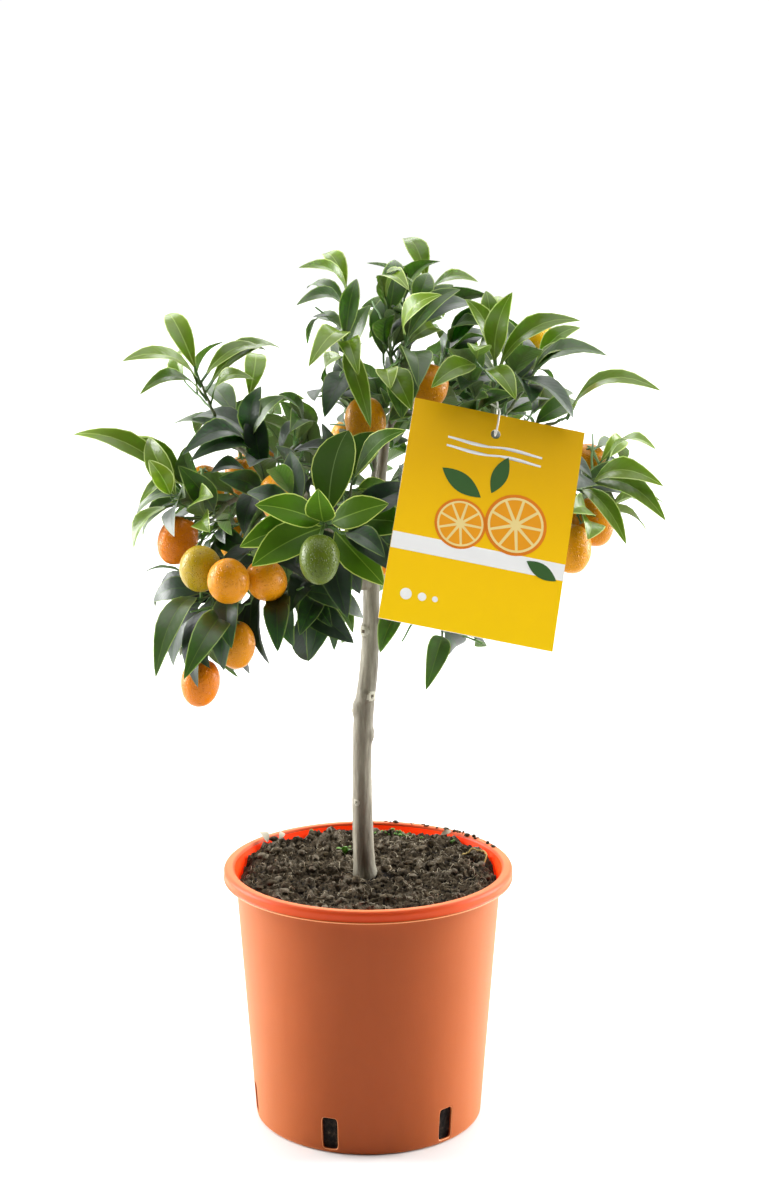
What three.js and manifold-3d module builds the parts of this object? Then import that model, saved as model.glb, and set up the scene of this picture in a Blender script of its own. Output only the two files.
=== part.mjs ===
// A young kumquat tree, grown as a small standard in a 20 cm plastic nursery pot,
// with the card that hangs in its crown.
// Millimetres, +Z up. The origin is the centre of the pot's flat underside,
// -Y is the front, and a bearing is an angle in degrees from +X towards +Y.
import * as THREE from 'three';
import { mergeVertices } from 'three/addons/utils/BufferGeometryUtils.js';
import Module from 'manifold-3d';

const wasm = await Module();
wasm.setup();

// ---------------------------------------------------------------- driving sizes
const GAP = 0.3; // air between pieces that touch
const SEED = 11; // every random draw starts here,
const SEED_STEP = 7919; // and each mass of foliage starts this much further on

const POT = {
  rimRadius: 100,
  height: 180,
  baseRadius: 79,
  wallTopRadius: 91.4,
  wall: 1.6,
  floor: 2.2,
  lipHeight: 8.5,
  lipWidth: 8,
  baseCorner: 2.5,
  sides: 36,
};
const SLOT = { count: 6, width: 11, height: 23, foot: 3, firstBearing: -108.7, depth: 16 };
const SOIL = { level: 171.7, edgeDrop: 3.5, lump: 2.6, rings: 4, sides: 24 };

// Trunk and leader: height, sideways lean along X and along Y, and radius.
const TRUNK_STATIONS = [
  { z: 172, x: -2.0, y: 0, radius: 8.6 },
  { z: 180, x: -2.6, y: 0, radius: 7.3 },
  { z: 203, x: -3.7, y: 0, radius: 7.1 },
  { z: 235, x: -4.1, y: 0, radius: 6.6 },
  { z: 262, x: -3.9, y: 0, radius: 6.5 },
  { z: 290, x: -2.8, y: 0, radius: 6.8 },
  { z: 319, x: 0.6, y: 0, radius: 6.2 },
  { z: 352, x: 2.1, y: 0, radius: 5.6 },
  { z: 390, x: 2.9, y: 0, radius: 5.5 },
  { z: 430, x: 6.5, y: 2, radius: 4.0 },
  { z: 474, x: 11.6, y: 5, radius: 3.1 },
];
const TRUNK_SIDES = 10;
const TRUNK_RINGS = 16;
// Bud scars and cut side shoots that stand out of the bark.
const KNOTS = [
  { z: 346, bearing: 205, size: 3.2 },
  { z: 301, bearing: 262, size: 3.0 },
  { z: 291, bearing: 190, size: 3.6 },
  { z: 273, bearing: -8, size: 3.4 },
  { z: 240, bearing: 80, size: 3.2 },
];

// Boughs: where they leave the trunk, where they end, and how thick they are there.
const BOUGHS = [
  { name: 'bough_left', foot: 392, tip: [-52, -24, 444], footRadius: 4.4, tipRadius: 3.2 },
  { name: 'bough_left_low', foot: 378, tip: [-44, -42, 400], footRadius: 3.6, tipRadius: 2.8 },
  { name: 'bough_front', foot: 406, tip: [-11, -56, 430], footRadius: 3.4, tipRadius: 2.3 },
  { name: 'bough_right', foot: 400, tip: [66, -27, 460], footRadius: 4.2, tipRadius: 3.2 },
  { name: 'bough_right_low', foot: 352, tip: [38, -4, 371], footRadius: 2.8, tipRadius: 2.1 },
  { name: 'bough_back_left', foot: 385, tip: [-38, 44, 425], footRadius: 3.8, tipRadius: 2.9 },
  { name: 'bough_back_right', foot: 380, tip: [48, 42, 428], footRadius: 3.8, tipRadius: 2.9 },
  { name: 'bough_back', foot: 412, tip: [4, 58, 436], footRadius: 3.4, tipRadius: 2.8 },
];
const BOUGH_SIDES = 7;
const BOUGH_RINGS = 5;
const BOUGH_SAG = 0.16; // how far a bough hangs under its chord, as a share of its length

// Twigs and leaves.
const TWIG = {
  stemRadius: 1.9,
  forkRadius: 1.6,
  endRadius: 1.05,
  rings: 3,
  sides: 3,
  seatRadius: 2.3, // of the ring in which the stems of one carrier stand
  stemBend: 0.35, // how long a stem keeps its carrier's heading
  sag: 0.1, // how far a shoot hangs under its chord, as a share of its length
  lift: 0.12, // how much all that grows from a twig turns upwards
};
const SIDE_TWIG = { length: 30, spread: 55, leaves: 3, from: 0.52, span: 0.28 };
const LEAF = {
  length: 68,
  young: 0.62, // the outermost leaf's length against a grown one
  slimness: 0.4, // width over length
  thickness: 1.3,
  root: 0.45, // how far its root lies past the twig's middle
  fold: 0.14, // how far the two halves fold up, as a share of the width
  arch: 0.13, // how far the middle stands over the chord, as a share of the length
  pitch: 6.5, // from leaf to leaf along the shoot,
  crowd: 0.85, // or closer, so that all stand on this share of it
  turn: 137.5, // bearing from leaf to leaf round the shoot
  turnSpread: 30,
  sizeLeast: 0.82,
  sizeSpread: 0.3,
  youngCount: 4,
  openYoung: 28, // angle from the twig at the twig's tip
  openOld: 74, // and at its foot
  faceAlong: 0.6, // the upper side faces the twig's tip by this much
  faceUp: 0.8, // and the sky by this much,
  faceFront: 1, // and, where its heading is given, the front by this much
  lower: { at: 0.34, width: 0.94 },
  upper: { at: 0.7, width: 0.78 },
};
const SAMPLES = [0.2, 0.4, 0.6, 0.8].flatMap(
  (at) => [[at, -0.9 + 0.8 * Math.abs(at - 0.5)], [at, 0], [at, 0.9 - 0.8 * Math.abs(at - 0.5)]],
).concat([[1, 0]]);
const CLEAR = { cell: 1, limb: 1.6, fruit: 1.5, card: 1.6, blade: 1, twig: 2.2 };
// A fruit's outline: shares of the half length along it and of the radius across it.
const FRUIT = {
  radius: 13.6,
  halfLength: 16.8,
  sides: 6,
  stalk: 25,
  stalkRadius: 0.9,
  holds: 12, // places tried along each shoot
  outline: [[-0.97, 0.07], [-0.5, 0.9], [0.35, 0.97], [1, 0.25]],
};

// The card: a sheet on a thin tie, leaning out at its foot.
const CARD = {
  width: 108.5,
  height: 142,
  thickness: 1,
  middle: [71.6, -132, 442.4],
  roll: -13.5,
  lean: 25.2,
  yaw: 9.8,
  holeDrop: 12.9,
  holeAside: -1,
  holeRadius: 3,
};
const TIE = { radius: 0.6, sides: 5, steps: 24, loop: 2.4, clear: 3, baseClear: 7, hold: 0.42 };
// A leaf that finds no room is tried again: swung round its twig, then shorter.
const SHRINKS = [1, 0.85, 0.7];
const SWINGS = [0, 30, -30, 60, -60, 95, -95];

// Masses of foliage. Each grows on one bough's tip or on the leader: its stem runs to the
// fork, a shoot runs from there to each tip, and headings give the bearing, the rise and
// the length of a shoot's outermost leaves. Fruits are given by their middle.
const MASSES = [
  {
    name: 'foliage_upper_left', on: 'bough_left', fork: [-92, -14, 478], reach: 78,
    shoots: [
      {
        tip: [-110, -18, 518], leaves: 9,
        headings: [
          [125, 45, 58], [-140, 20, 64], [30, 25, 64], [-135, 10, 56], [-40, 30, 50],
        ],
      },
      { tip: [-80, 8, 497], leaves: 6, headings: [[85, 40, 50]] },
    ],
    fruits: [[-84, 14, 447]],
  },
  {
    name: 'foliage_far_left', on: 'bough_left', fork: [-92, -34, 438], reach: 72,
    shoots: [
      {
        tip: [-120, -32, 445], leaves: 8,
        headings: [
          [-175, 30, 81], [155, 40, 56], [-130, 5, 48], [160, -20, 50], [155, -35, 60],
        ],
      },
      { tip: [-104, -66, 431], leaves: 5, headings: [] },
    ],
    fruits: [[-108, -5, 444], [-122, -62, 419]],
  },
  {
    name: 'foliage_left_middle', on: 'bough_left', fork: [-66, -42, 464], reach: 72,
    shoots: [
      {
        tip: [-75, -54, 480], leaves: 6,
        headings: [[-40, 50, 44], [-60, 75, 42], [-140, 5, 56], [-139, 5, 60]],
      },
      { tip: [-42, -34, 480], leaves: 6, headings: [[-115, 47, 46], [-92, 22, 44]] },
      { tip: [-64, -72, 446], leaves: 5, headings: [[-147, 28, 38]] },
    ],
    fruits: [[-54, -96, 452]],
  },
  {
    name: 'foliage_lower_left', on: 'bough_left_low', fork: [-80, -62, 396], reach: 84,
    shoots: [
      { tip: [-106, -78, 384], leaves: 7, headings: [[-115, -30, 70], [135, -55, 64], [155, -10, 46]] },
      { tip: [-86, -98, 378], leaves: 6, headings: [[-115, -25, 66]] },
    ],
    fruits: [[-85, -128, 406], [-104, -104, 409], [-84, -84, 355], [-107, -84, 330]],
  },
  {
    name: 'foliage_low_front', on: 'bough_left_low', fork: [-46, -62, 390], reach: 62,
    shoots: [
      { tip: [-58, -94, 388], leaves: 5, headings: [[-85, -40, 42], [-82, -25, 36]] },
      { tip: [-28, -70, 382], leaves: 5, headings: [[-54, -24, 36], [-101, -51, 45], [-63, -42, 42]] },
    ],
    fruits: [[-63, -106, 402]],
  },
  {
    name: 'foliage_front', on: 'bough_front', fork: [-15, -86, 436], reach: 82,
    shoots: [
      {
        tip: [-26, -126, 441], leaves: 12,
        headings: [
          [-95, 40, 40], [-150, 20, 50], [-25, 22, 45], [75, 50, 72], [-151, -20, 57],
          [-36, -38, 52], [-155, -6, 61], [-28, 5, 60],
        ],
      },
      { tip: [-9, -80, 460], leaves: 5, headings: [[80, 20, 50], [45, -15, 50]] },
    ],
    fruits: [[-28, -156, 425], [7, -60, 411]],
  },
  {
    name: 'foliage_top_left', on: 'trunk', fork: [-8, -16, 516], reach: 62,
    shoots: [
      {
        tip: [-12, -10, 572], leaves: 9,
        headings: [
          [125, 40, 40], [-145, 35, 46], [135, 20, 44], [-140, 20, 46], [130, -10, 50],
        ],
      },
      { tip: [-14, -56, 544], leaves: 7, headings: [[-111, -6, 58], [-80, -10, 46], [110, -35, 44]] },
    ],
    fruits: [[-1, -36, 492]],
  },
  {
    name: 'foliage_top_middle', on: 'trunk', fork: [18, -8, 514], reach: 90,
    shoots: [
      { tip: [40, 15, 574], leaves: 8, headings: [[120, 45, 46], [-25, 20, 40], [60, -10, 46]] },
      { tip: [24, -54, 546], leaves: 7, headings: [[-60, 39, 52], [60, 5, 50], [-58, 18, 46]] },
      { tip: [12, -10, 566], leaves: 9, headings: [[-73, 17, 50], [-76, 45, 44]] },
    ],
    fruits: [],
  },
  {
    name: 'foliage_top_right', on: 'trunk', fork: [38, 20, 502], reach: 66,
    shoots: [
      { tip: [55, 12, 534], leaves: 7, headings: [[-55, 30, 40], [-87, 46, 40]] },
      { tip: [62, -10, 514], leaves: 6, headings: [[-115, 48, 44]] },
    ],
    fruits: [[39, -36, 514]],
  },
  {
    name: 'foliage_right_top', on: 'bough_right', fork: [80, -62, 492], reach: 84,
    shoots: [
      {
        tip: [81, -74, 536], leaves: 9,
        headings: [
          [85, 50, 50], [-75, 60, 56], [-20, 36, 65], [-147, 67, 58], [-168, 23, 62], [-143, 28, 52],
        ],
      },
      { tip: [108, -45, 526], leaves: 7, headings: [[0, 45, 40], [-30, 35, 40], [-20, 25, 58]] },
    ],
    fruits: [[109.5, -10, 543]],
  },
  {
    name: 'foliage_right_upper', on: 'bough_right', fork: [106, -32, 488], reach: 90,
    shoots: [
      { tip: [128, -44, 496], leaves: 7, headings: [[-40, 20, 74], [-43, -11, 54]] },
    ],
    fruits: [],
  },
  {
    name: 'foliage_right', on: 'bough_right', fork: [116, -42, 454], reach: 86,
    shoots: [
      { tip: [142, -60, 452], leaves: 7, headings: [[-40, 10, 56], [-40, -10, 64], [-50, -33, 53]] },
      { tip: [156, -22, 463], leaves: 6, headings: [[-45, 20, 44], [55, 20, 40]] },
      { tip: [130, -46, 428], leaves: 4, headings: [] },
    ],
    fruits: [[146, 0, 457], [145, -62, 431], [130, -86, 418]],
  },
  {
    name: 'foliage_low_right', on: 'bough_right_low', fork: [48, -14, 366], reach: 54,
    shoots: [
      { tip: [50, -22, 346], leaves: 3, headings: [[-105, -30, 50], [75, -30, 46]] },
      { tip: [26, -40, 372], leaves: 2, headings: [[-134, -47, 38]] },
    ],
    fruits: [],
  },
  {
    name: 'foliage_back_left', on: 'bough_back_left', fork: [-58, 70, 450], reach: 78,
    shoots: [
      { tip: [-84, 84, 458], leaves: 7, headings: [] },
      { tip: [-40, 92, 450], leaves: 7, headings: [] },
    ],
    fruits: [[-80, 108, 446]],
  },
  {
    name: 'foliage_back_left_low', on: 'bough_back_left', fork: [-66, 64, 416], reach: 78,
    shoots: [
      { tip: [-102, 72, 418], leaves: 6, headings: [] },
      { tip: [-70, 104, 400], leaves: 7, headings: [] },
    ],
    fruits: [[-96, 98, 390], [-58, 116, 376]],
  },
  {
    name: 'foliage_back_right', on: 'bough_back_right', fork: [64, 64, 466], reach: 78,
    shoots: [
      { tip: [88, 76, 496], leaves: 7, headings: [] },
      { tip: [50, 84, 506], leaves: 7, headings: [] },
    ],
    fruits: [[86, 106, 470]],
  },
  {
    name: 'foliage_back_right_low', on: 'bough_back_right', fork: [78, 60, 430], reach: 78,
    shoots: [
      { tip: [116, 58, 440], leaves: 7, headings: [] },
      { tip: [88, 98, 412], leaves: 7, headings: [] },
    ],
    fruits: [[114, 86, 412]],
  },
  {
    name: 'foliage_back', on: 'bough_back', fork: [4, 84, 458], reach: 66,
    shoots: [
      { tip: [-8, 118, 482], leaves: 7, headings: [] },
      { tip: [14, 86, 508], leaves: 7, headings: [] },
    ],
    fruits: [[-16, 142, 455]],
  },
  {
    name: 'foliage_back_low', on: 'bough_back', fork: [10, 92, 420], reach: 74,
    shoots: [
      { tip: [6, 126, 406], leaves: 7, headings: [] },
      { tip: [42, 88, 394], leaves: 7, headings: [] },
    ],
    fruits: [[24, 128, 380]],
  },
];

const COLOUR = {
  pot: 0xf07c4c,
  soil: 0x3a332c,
  bark: 0x9c9484,
  leaf: 0x2f5a26,
  card: 0xf0b800,
  tie: 0xd8d0b8,
};

// ---------------------------------------------------------------- small helpers
const UP = new THREE.Vector3(0, 0, 1);
const FRONT = new THREE.Vector3(0, -1, 0);
const point = ([x, y, z]) => new THREE.Vector3(x, y, z);
const radians = THREE.MathUtils.degToRad;
const mix = THREE.MathUtils.lerp;
const wholeTurn = 2 * Math.PI;

// Park-Miller draws from 0 to 1, the same in every language.
function seeded(seed) {
  let state = seed;
  return () => {
    state = (state * 48271) % 2147483647;
    return state / 2147483647;
  };
}

function heading(bearing, rise) {
  const flat = Math.cos(radians(rise));
  return new THREE.Vector3(
    flat * Math.cos(radians(bearing)),
    flat * Math.sin(radians(bearing)),
    Math.sin(radians(rise)),
  );
}

function solidFrom(geometry) {
  const bare = geometry.clone();
  bare.deleteAttribute('normal');
  bare.deleteAttribute('uv');
  const merged = mergeVertices(bare, 1e-4);
  return new wasm.Manifold(new wasm.Mesh({
    numProp: 3,
    vertProperties: Float32Array.from(merged.attributes.position.array),
    triVerts: Uint32Array.from(merged.index.array),
  }));
}

function geometryFrom(solid) {
  const mesh = solid.getMesh();
  const geometry = new THREE.BufferGeometry();
  geometry.setAttribute('position', new THREE.BufferAttribute(mesh.vertProperties, 3));
  geometry.setIndex(new THREE.BufferAttribute(mesh.triVerts, 1));
  return geometry;
}

// Joins solids into the one outer body: loose scraps go, and sealed hollows fill.
function joined(solids) {
  const pieces = wasm.Manifold.union(solids).simplify(0.004).decompose();
  return pieces.reduce((best, piece) => (piece.volume() > best.volume() ? piece : best));
}

function facesToGeometry(vertices, faces) {
  const geometry = new THREE.BufferGeometry();
  const flat = vertices.flatMap((vertex) => vertex.toArray());
  geometry.setAttribute('position', new THREE.Float32BufferAttribute(flat, 3));
  geometry.setIndex(faces.flat());
  return geometry;
}

// Closed round limb through the points, with a flat end at each side. Its foot is cut square
// to the limb, or square to footAlong where that is given.
function limb(points, radii, sides, footAlong = null) {
  const vertices = [];
  const faces = [];
  const last = points.length - 1;
  let across = new THREE.Vector3(1, 0, 0);
  points.forEach((middle, ring) => {
    const along = points[Math.min(ring + 1, last)].clone().sub(points[Math.max(ring - 1, 0)]);
    along.normalize();
    if (ring === 0 && footAlong) along.copy(footAlong);
    if (Math.abs(along.dot(across)) > 0.9) across = new THREE.Vector3(0, 1, 0);
    across = across.clone().addScaledVector(along, -across.dot(along)).normalize();
    const beside = along.clone().cross(across);
    for (let side = 0; side < sides; side += 1) {
      const angle = (wholeTurn * side) / sides;
      vertices.push(middle.clone()
        .addScaledVector(across, radii[ring] * Math.cos(angle))
        .addScaledVector(beside, radii[ring] * Math.sin(angle)));
    }
  });
  for (let ring = 0; ring < last; ring += 1) {
    for (let side = 0; side < sides; side += 1) {
      const here = ring * sides + side;
      const next = ring * sides + ((side + 1) % sides);
      faces.push([here, next, next + sides], [here, next + sides, here + sides]);
    }
  }
  for (let side = 1; side < sides - 1; side += 1) {
    faces.push([0, side + 1, side]);
    faces.push([last * sides, last * sides + side, last * sides + side + 1]);
  }
  return solidFrom(facesToGeometry(vertices, faces));
}

function distanceToSegment(place, start, end) {
  const line = end.clone().sub(start);
  const share = THREE.MathUtils.clamp(place.clone().sub(start).dot(line) / line.lengthSq(), 0, 1);
  return place.distanceTo(start.clone().addScaledVector(line, share));
}

// ---------------------------------------------------------------- pot and soil
function potSolid() {
  const { rimRadius, height, baseRadius, wallTopRadius, wall, floor, lipHeight } = POT;
  const lipFoot = height - lipHeight;
  const inside = rimRadius - POT.lipWidth;
  const outline = [
    [0, 0],
    [baseRadius - POT.baseCorner, 0],
    [baseRadius - 0.5, 0.8],
    [baseRadius + 0.2, POT.baseCorner],
    [wallTopRadius, lipFoot - 1.5],
    [rimRadius - 0.6, lipFoot],
    [rimRadius, lipFoot + 3.5],
    [rimRadius - 0.7, height - 2],
    [rimRadius - 2.7, height],
    [inside + 2, height],
    [inside + 0.3, height - 1.4],
    [wallTopRadius - wall, lipFoot + 3],
    [wallTopRadius - wall - 0.4, lipFoot - 4],
    [baseRadius - wall, floor],
    [0, floor],
  ].map(([radius, z]) => new THREE.Vector2(radius, z));
  const lathe = new THREE.LatheGeometry(outline, POT.sides);
  lathe.rotateX(Math.PI / 2);
  return cutSlots(solidFrom(lathe));
}

function cutSlots(pot) {
  let cut = pot;
  for (let slot = 0; slot < SLOT.count; slot += 1) {
    const box = new THREE.BoxGeometry(SLOT.depth, SLOT.width, SLOT.height);
    box.translate(POT.baseRadius, 0, SLOT.foot + SLOT.height / 2);
    box.rotateZ(radians(SLOT.firstBearing + (360 / SLOT.count) * slot));
    cut = cut.subtract(solidFrom(box));
  }
  return cut;
}

// Peat that fills the pot: a plug with a lumpy top that is flat under the trunk.
function soilSolid() {
  const draw = seeded(SEED);
  const foot = POT.floor + GAP;
  const footRadius = POT.baseRadius - POT.wall - GAP - 0.2;
  const edgeRadius = POT.wallTopRadius - POT.wall - 0.4 - GAP - 0.4;
  const vertices = [new THREE.Vector3(0, 0, foot), new THREE.Vector3(0, 0, SOIL.level)];
  const faces = [];
  const radiusOf = (ring) => (ring === 0 ? footRadius : edgeRadius * (1 - (ring - 1) / SOIL.rings));
  for (let ring = 0; ring <= SOIL.rings; ring += 1) {
    for (let side = 0; side < SOIL.sides; side += 1) {
      const angle = (wholeTurn * side) / SOIL.sides;
      const out = radiusOf(ring) / edgeRadius;
      const lump = ring < SOIL.rings ? (draw() - 0.5) * 2 * SOIL.lump : 0;
      const level = SOIL.level - SOIL.edgeDrop * out * out + lump;
      const z = ring === 0 ? foot : level;
      vertices.push(new THREE.Vector3(
        radiusOf(ring) * Math.cos(angle), radiusOf(ring) * Math.sin(angle), z,
      ));
    }
  }
  const index = (ring, side) => 2 + ring * SOIL.sides + (side % SOIL.sides);
  for (let side = 0; side < SOIL.sides; side += 1) {
    faces.push([0, index(0, side + 1), index(0, side)]);
    for (let ring = 0; ring < SOIL.rings; ring += 1) {
      faces.push([index(ring, side), index(ring, side + 1), index(ring + 1, side + 1)]);
      faces.push([index(ring, side), index(ring + 1, side + 1), index(ring + 1, side)]);
    }
    faces.push([1, index(SOIL.rings, side), index(SOIL.rings, side + 1)]);
  }
  return solidFrom(facesToGeometry(vertices, faces));
}

// ---------------------------------------------------------------- trunk and boughs
const trunkCurve = new THREE.CatmullRomCurve3(
  TRUNK_STATIONS.map(({ x, y, z }) => new THREE.Vector3(x, y, z)), false, 'catmullrom', 0.5,
);

function trunkRadius(z) {
  const upper = TRUNK_STATIONS.findIndex((station) => station.z >= z);
  if (upper <= 0) return TRUNK_STATIONS[0].radius;
  const [low, high] = [TRUNK_STATIONS[upper - 1], TRUNK_STATIONS[upper]];
  return mix(low.radius, high.radius, (z - low.z) / (high.z - low.z));
}

function trunkMiddle(z) {
  const upper = Math.max(1, TRUNK_STATIONS.findIndex((station) => station.z >= z));
  const [low, high] = [TRUNK_STATIONS[upper - 1], TRUNK_STATIONS[upper]];
  const share = (z - low.z) / (high.z - low.z);
  return new THREE.Vector3(mix(low.x, high.x, share), mix(low.y, high.y, share), z);
}

function trunkPath() {
  const last = TRUNK_STATIONS.length - 1;
  const rings = Array.from({ length: TRUNK_RINGS + 1 }, (_, ring) => ring / TRUNK_RINGS);
  rings.splice(1, 0, 0.35 / last); // a ring more where the root flare ends
  return rings.map((share) => trunkCurve.getPoint(share));
}

function trunkSolid(extra) {
  const path = trunkPath();
  const body = limb(path, path.map(({ z }) => trunkRadius(z) + extra), TRUNK_SIDES, UP);
  const knots = KNOTS.map(({ z, bearing, size }) => {
    const knot = new THREE.SphereGeometry(size + extra, 5, 4);
    const reach = trunkRadius(z) - size * 0.55;
    const middle = trunkMiddle(z).addScaledVector(heading(bearing, 0), reach);
    knot.translate(middle.x, middle.y, middle.z);
    return solidFrom(knot);
  });
  return joined([body, ...knots]);
}

function boughCurve(bough) {
  const foot = trunkMiddle(bough.foot);
  const tip = point(bough.tip);
  const middle = foot.clone().lerp(tip, 0.5);
  middle.z -= BOUGH_SAG * foot.distanceTo(tip);
  return new THREE.QuadraticBezierCurve3(foot, middle, tip);
}

function boughSolid(bough) {
  const path = boughCurve(bough).getPoints(BOUGH_RINGS);
  const radii = path.map((_, ring) => mix(bough.footRadius, bough.tipRadius, ring / BOUGH_RINGS));
  return limb(path, radii, BOUGH_SIDES);
}

// ---------------------------------------------------------------- the card's frame
const cardFrame = new THREE.Matrix4().makeRotationZ(radians(CARD.yaw))
  .multiply(new THREE.Matrix4().makeRotationX(radians(-CARD.lean)))
  .multiply(new THREE.Matrix4().makeRotationY(radians(-CARD.roll)))
  .setPosition(point(CARD.middle));
const cardInverse = cardFrame.clone().invert();

// ---------------------------------------------------------------- skeleton of the crown
const ALMOST = 1e-6; // keeps the first fork's turn from falling just under nought
// Where a mass's stem stands on its carrier's end. The stems of one carrier stand in an even
// ring there, in the order in which their forks lie round it.
function seatOf(mass) {
  const sharers = MASSES.filter(({ on }) => on === mass.on);
  const bough = BOUGHS.find(({ name }) => name === mass.on);
  const path = bough ? boughCurve(bough).getPoints(BOUGH_RINGS) : trunkPath();
  const tip = path.at(-1);
  const along = tip.clone().sub(path.at(-2)).normalize();
  const across = point(sharers[0].fork).sub(tip);
  across.addScaledVector(along, -across.dot(along)).normalize();
  const beside = along.clone().cross(across);
  const turnOf = ({ fork }) => {
    const reach = point(fork).sub(tip);
    return (Math.atan2(reach.dot(beside), reach.dot(across)) + wholeTurn + ALMOST) % wholeTurn;
  };
  const rank = sharers.filter((other) => turnOf(other) < turnOf(mass)).length;
  const angle = (wholeTurn * rank) / sharers.length;
  const reach = sharers.length > 1 ? TWIG.seatRadius : 0;
  const place = tip.clone().addScaledVector(along, GAP)
    .addScaledVector(across, reach * Math.cos(angle))
    .addScaledVector(beside, reach * Math.sin(angle));
  return { along, place };
}

function stemCurve(mass) {
  const { place, along } = seatOf(mass);
  const fork = point(mass.fork);
  const middle = place.clone().addScaledVector(along, place.distanceTo(fork) * TWIG.stemBend);
  return new THREE.QuadraticBezierCurve3(place, middle, fork);
}

function shootCurve(mass, shoot) {
  const fork = point(mass.fork);
  const tip = point(shoot.tip);
  const middle = fork.clone().lerp(tip, 0.5);
  middle.z -= TWIG.sag * fork.distanceTo(tip);
  return new THREE.QuadraticBezierCurve3(fork, middle, tip);
}

// A fruit hangs from the place on its shoots that gives it about a usual stalk.
function fruitFrame(middle, shoots) {
  const misfit = (place) => Math.abs(place.distanceTo(middle) - FRUIT.stalk);
  const hold = shoots.flatMap((curve) => curve.getPoints(FRUIT.holds))
    .reduce((best, place) => (misfit(place) < misfit(best) ? place : best));
  return { middle, hold, axis: middle.clone().sub(hold).normalize() };
}

const segmentsOf = (curve) => {
  const path = curve.getPoints(TWIG.rings);
  return path.slice(1).map((end, index) => [path[index], end]);
};

const skeletons = MASSES.map((mass) => {
  const curves = [stemCurve(mass), ...mass.shoots.map((shoot) => shootCurve(mass, shoot))];
  return {
    name: mass.name,
    fork: point(mass.fork),
    reach: mass.reach,
    curves,
    fruits: mass.fruits.map((middle) => fruitFrame(point(middle), curves.slice(1))),
    leaves: [],
    segments: curves.flatMap(segmentsOf), // these share out the crown's room
    wood: curves.flatMap(segmentsOf), // these, with the side twigs and stalks, keep leaves off
  };
});
const limbSegments = [
  ...TRUNK_STATIONS.slice(1).map((high, index) => {
    const low = TRUNK_STATIONS[index];
    return { start: trunkMiddle(low.z), end: trunkMiddle(high.z), radius: low.radius };
  }),
  ...BOUGHS.flatMap((bough) => segmentsOf(boughCurve(bough)).map(([start, end]) => (
    { start, end, radius: bough.footRadius }))),
];
const allFruits = skeletons.flatMap(({ fruits }) => fruits);
const tiePath = tieCurve().getPoints(TIE.steps);
const tieSegments = tiePath.slice(1).map((end, index) => [tiePath[index], end]);

// The tie is a loop: through the card's hole, over its top edge and round the shoot.
function tieCurve() {
  const onCard = (out, rise) => new THREE.Vector3(CARD.holeAside, -out, CARD.height / 2 + rise)
    .applyMatrix4(cardFrame);
  const shoot = skeletons.find(({ name }) => name === 'foliage_right_top').curves[1];
  const held = shoot.getPoint(TIE.hold);
  const round = (bearing) => held.clone().addScaledVector(heading(bearing, 0), TIE.loop);
  return new THREE.CatmullRomCurve3([
    onCard(0, -CARD.holeDrop),
    onCard(2.4, -CARD.holeDrop + 4),
    onCard(2.6, -3),
    onCard(-1, 4),
    round(180),
    round(90),
    round(0),
    onCard(-6, -4),
    onCard(-2.6, -CARD.holeDrop + 1),
  ], true, 'catmullrom', 0.5);
}

// ---------------------------------------------------------------- the space rule
const nearest = (place, segments) => segments.reduce(
  (best, [start, end]) => Math.min(best, distanceToSegment(place, start, end)), Infinity,
);

function inOwnCell(place, own) {
  const distance = nearest(place, own.segments);
  return skeletons.every((other) => (
    other === own || nearest(place, other.segments) > distance + CLEAR.cell));
}

const clearOfLimbs = (place) => limbSegments.every(
  ({ start, end, radius }) => distanceToSegment(place, start, end) > radius + CLEAR.limb,
);

const clearOfFruits = (place) => allFruits.every(({ middle, axis }) => {
  const offset = place.clone().sub(middle);
  const along = offset.dot(axis);
  const across = Math.sqrt(Math.max(offset.lengthSq() - along * along, 0));
  return Math.hypot(
    along / (FRUIT.halfLength + CLEAR.fruit), across / (FRUIT.radius + CLEAR.fruit),
  ) > 1;
});

const clearOfTie = (place) => nearest(place, tieSegments) > TIE.clear;
const baseClearOfTie = (place) => nearest(place, tieSegments) > TIE.baseClear;

// A leaf may lie behind the card, but it doesn't touch the card, and only one whose heading
// is given may lie over its face.
function clearOfCard(places, given = false) {
  return places.every((place) => {
    const local = place.clone().applyMatrix4(cardInverse);
    const beside = Math.abs(local.x) > CARD.width / 2 + CLEAR.card
      || Math.abs(local.z) > CARD.height / 2 + CLEAR.card;
    return beside || local.y > CLEAR.card || (given && local.y < -CLEAR.card);
  });
}

// ---------------------------------------------------------------- leaves, twigs, fruits
// The blade's frame: it runs along its heading, and its upper side faces the shoot's end.
function leafFrame(base, along, towards, length) {
  const face = towards.clone().addScaledVector(along, -towards.dot(along)).normalize();
  return { base, along, face, side: face.clone().cross(along), length };
}

function leafPoint(frame, at, across, lift) {
  const { base, along, face, side, length } = frame;
  const width = length * LEAF.slimness * 0.5;
  const arch = 4 * LEAF.arch * length * at * (1 - at);
  const fold = Math.abs(across) * width * 2 * LEAF.fold;
  return base.clone()
    .addScaledVector(along, at * length)
    .addScaledVector(side, across * width)
    .addScaledVector(face, arch + fold + lift);
}

function leafSamples(frame) {
  return SAMPLES.map(([at, across]) => leafPoint(frame, at, across, 0));
}

// Where a point lies against a blade: along and across it as shares, and its height over it.
function againstBlade(place, frame) {
  const reach = place.clone().sub(frame.base);
  const at = reach.dot(frame.along) / frame.length;
  const across = reach.dot(frame.side) / (frame.length * LEAF.slimness * 0.5);
  return { at, across, over: place.clone().sub(leafPoint(frame, at, across, 0)).dot(frame.face) };
}

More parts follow.
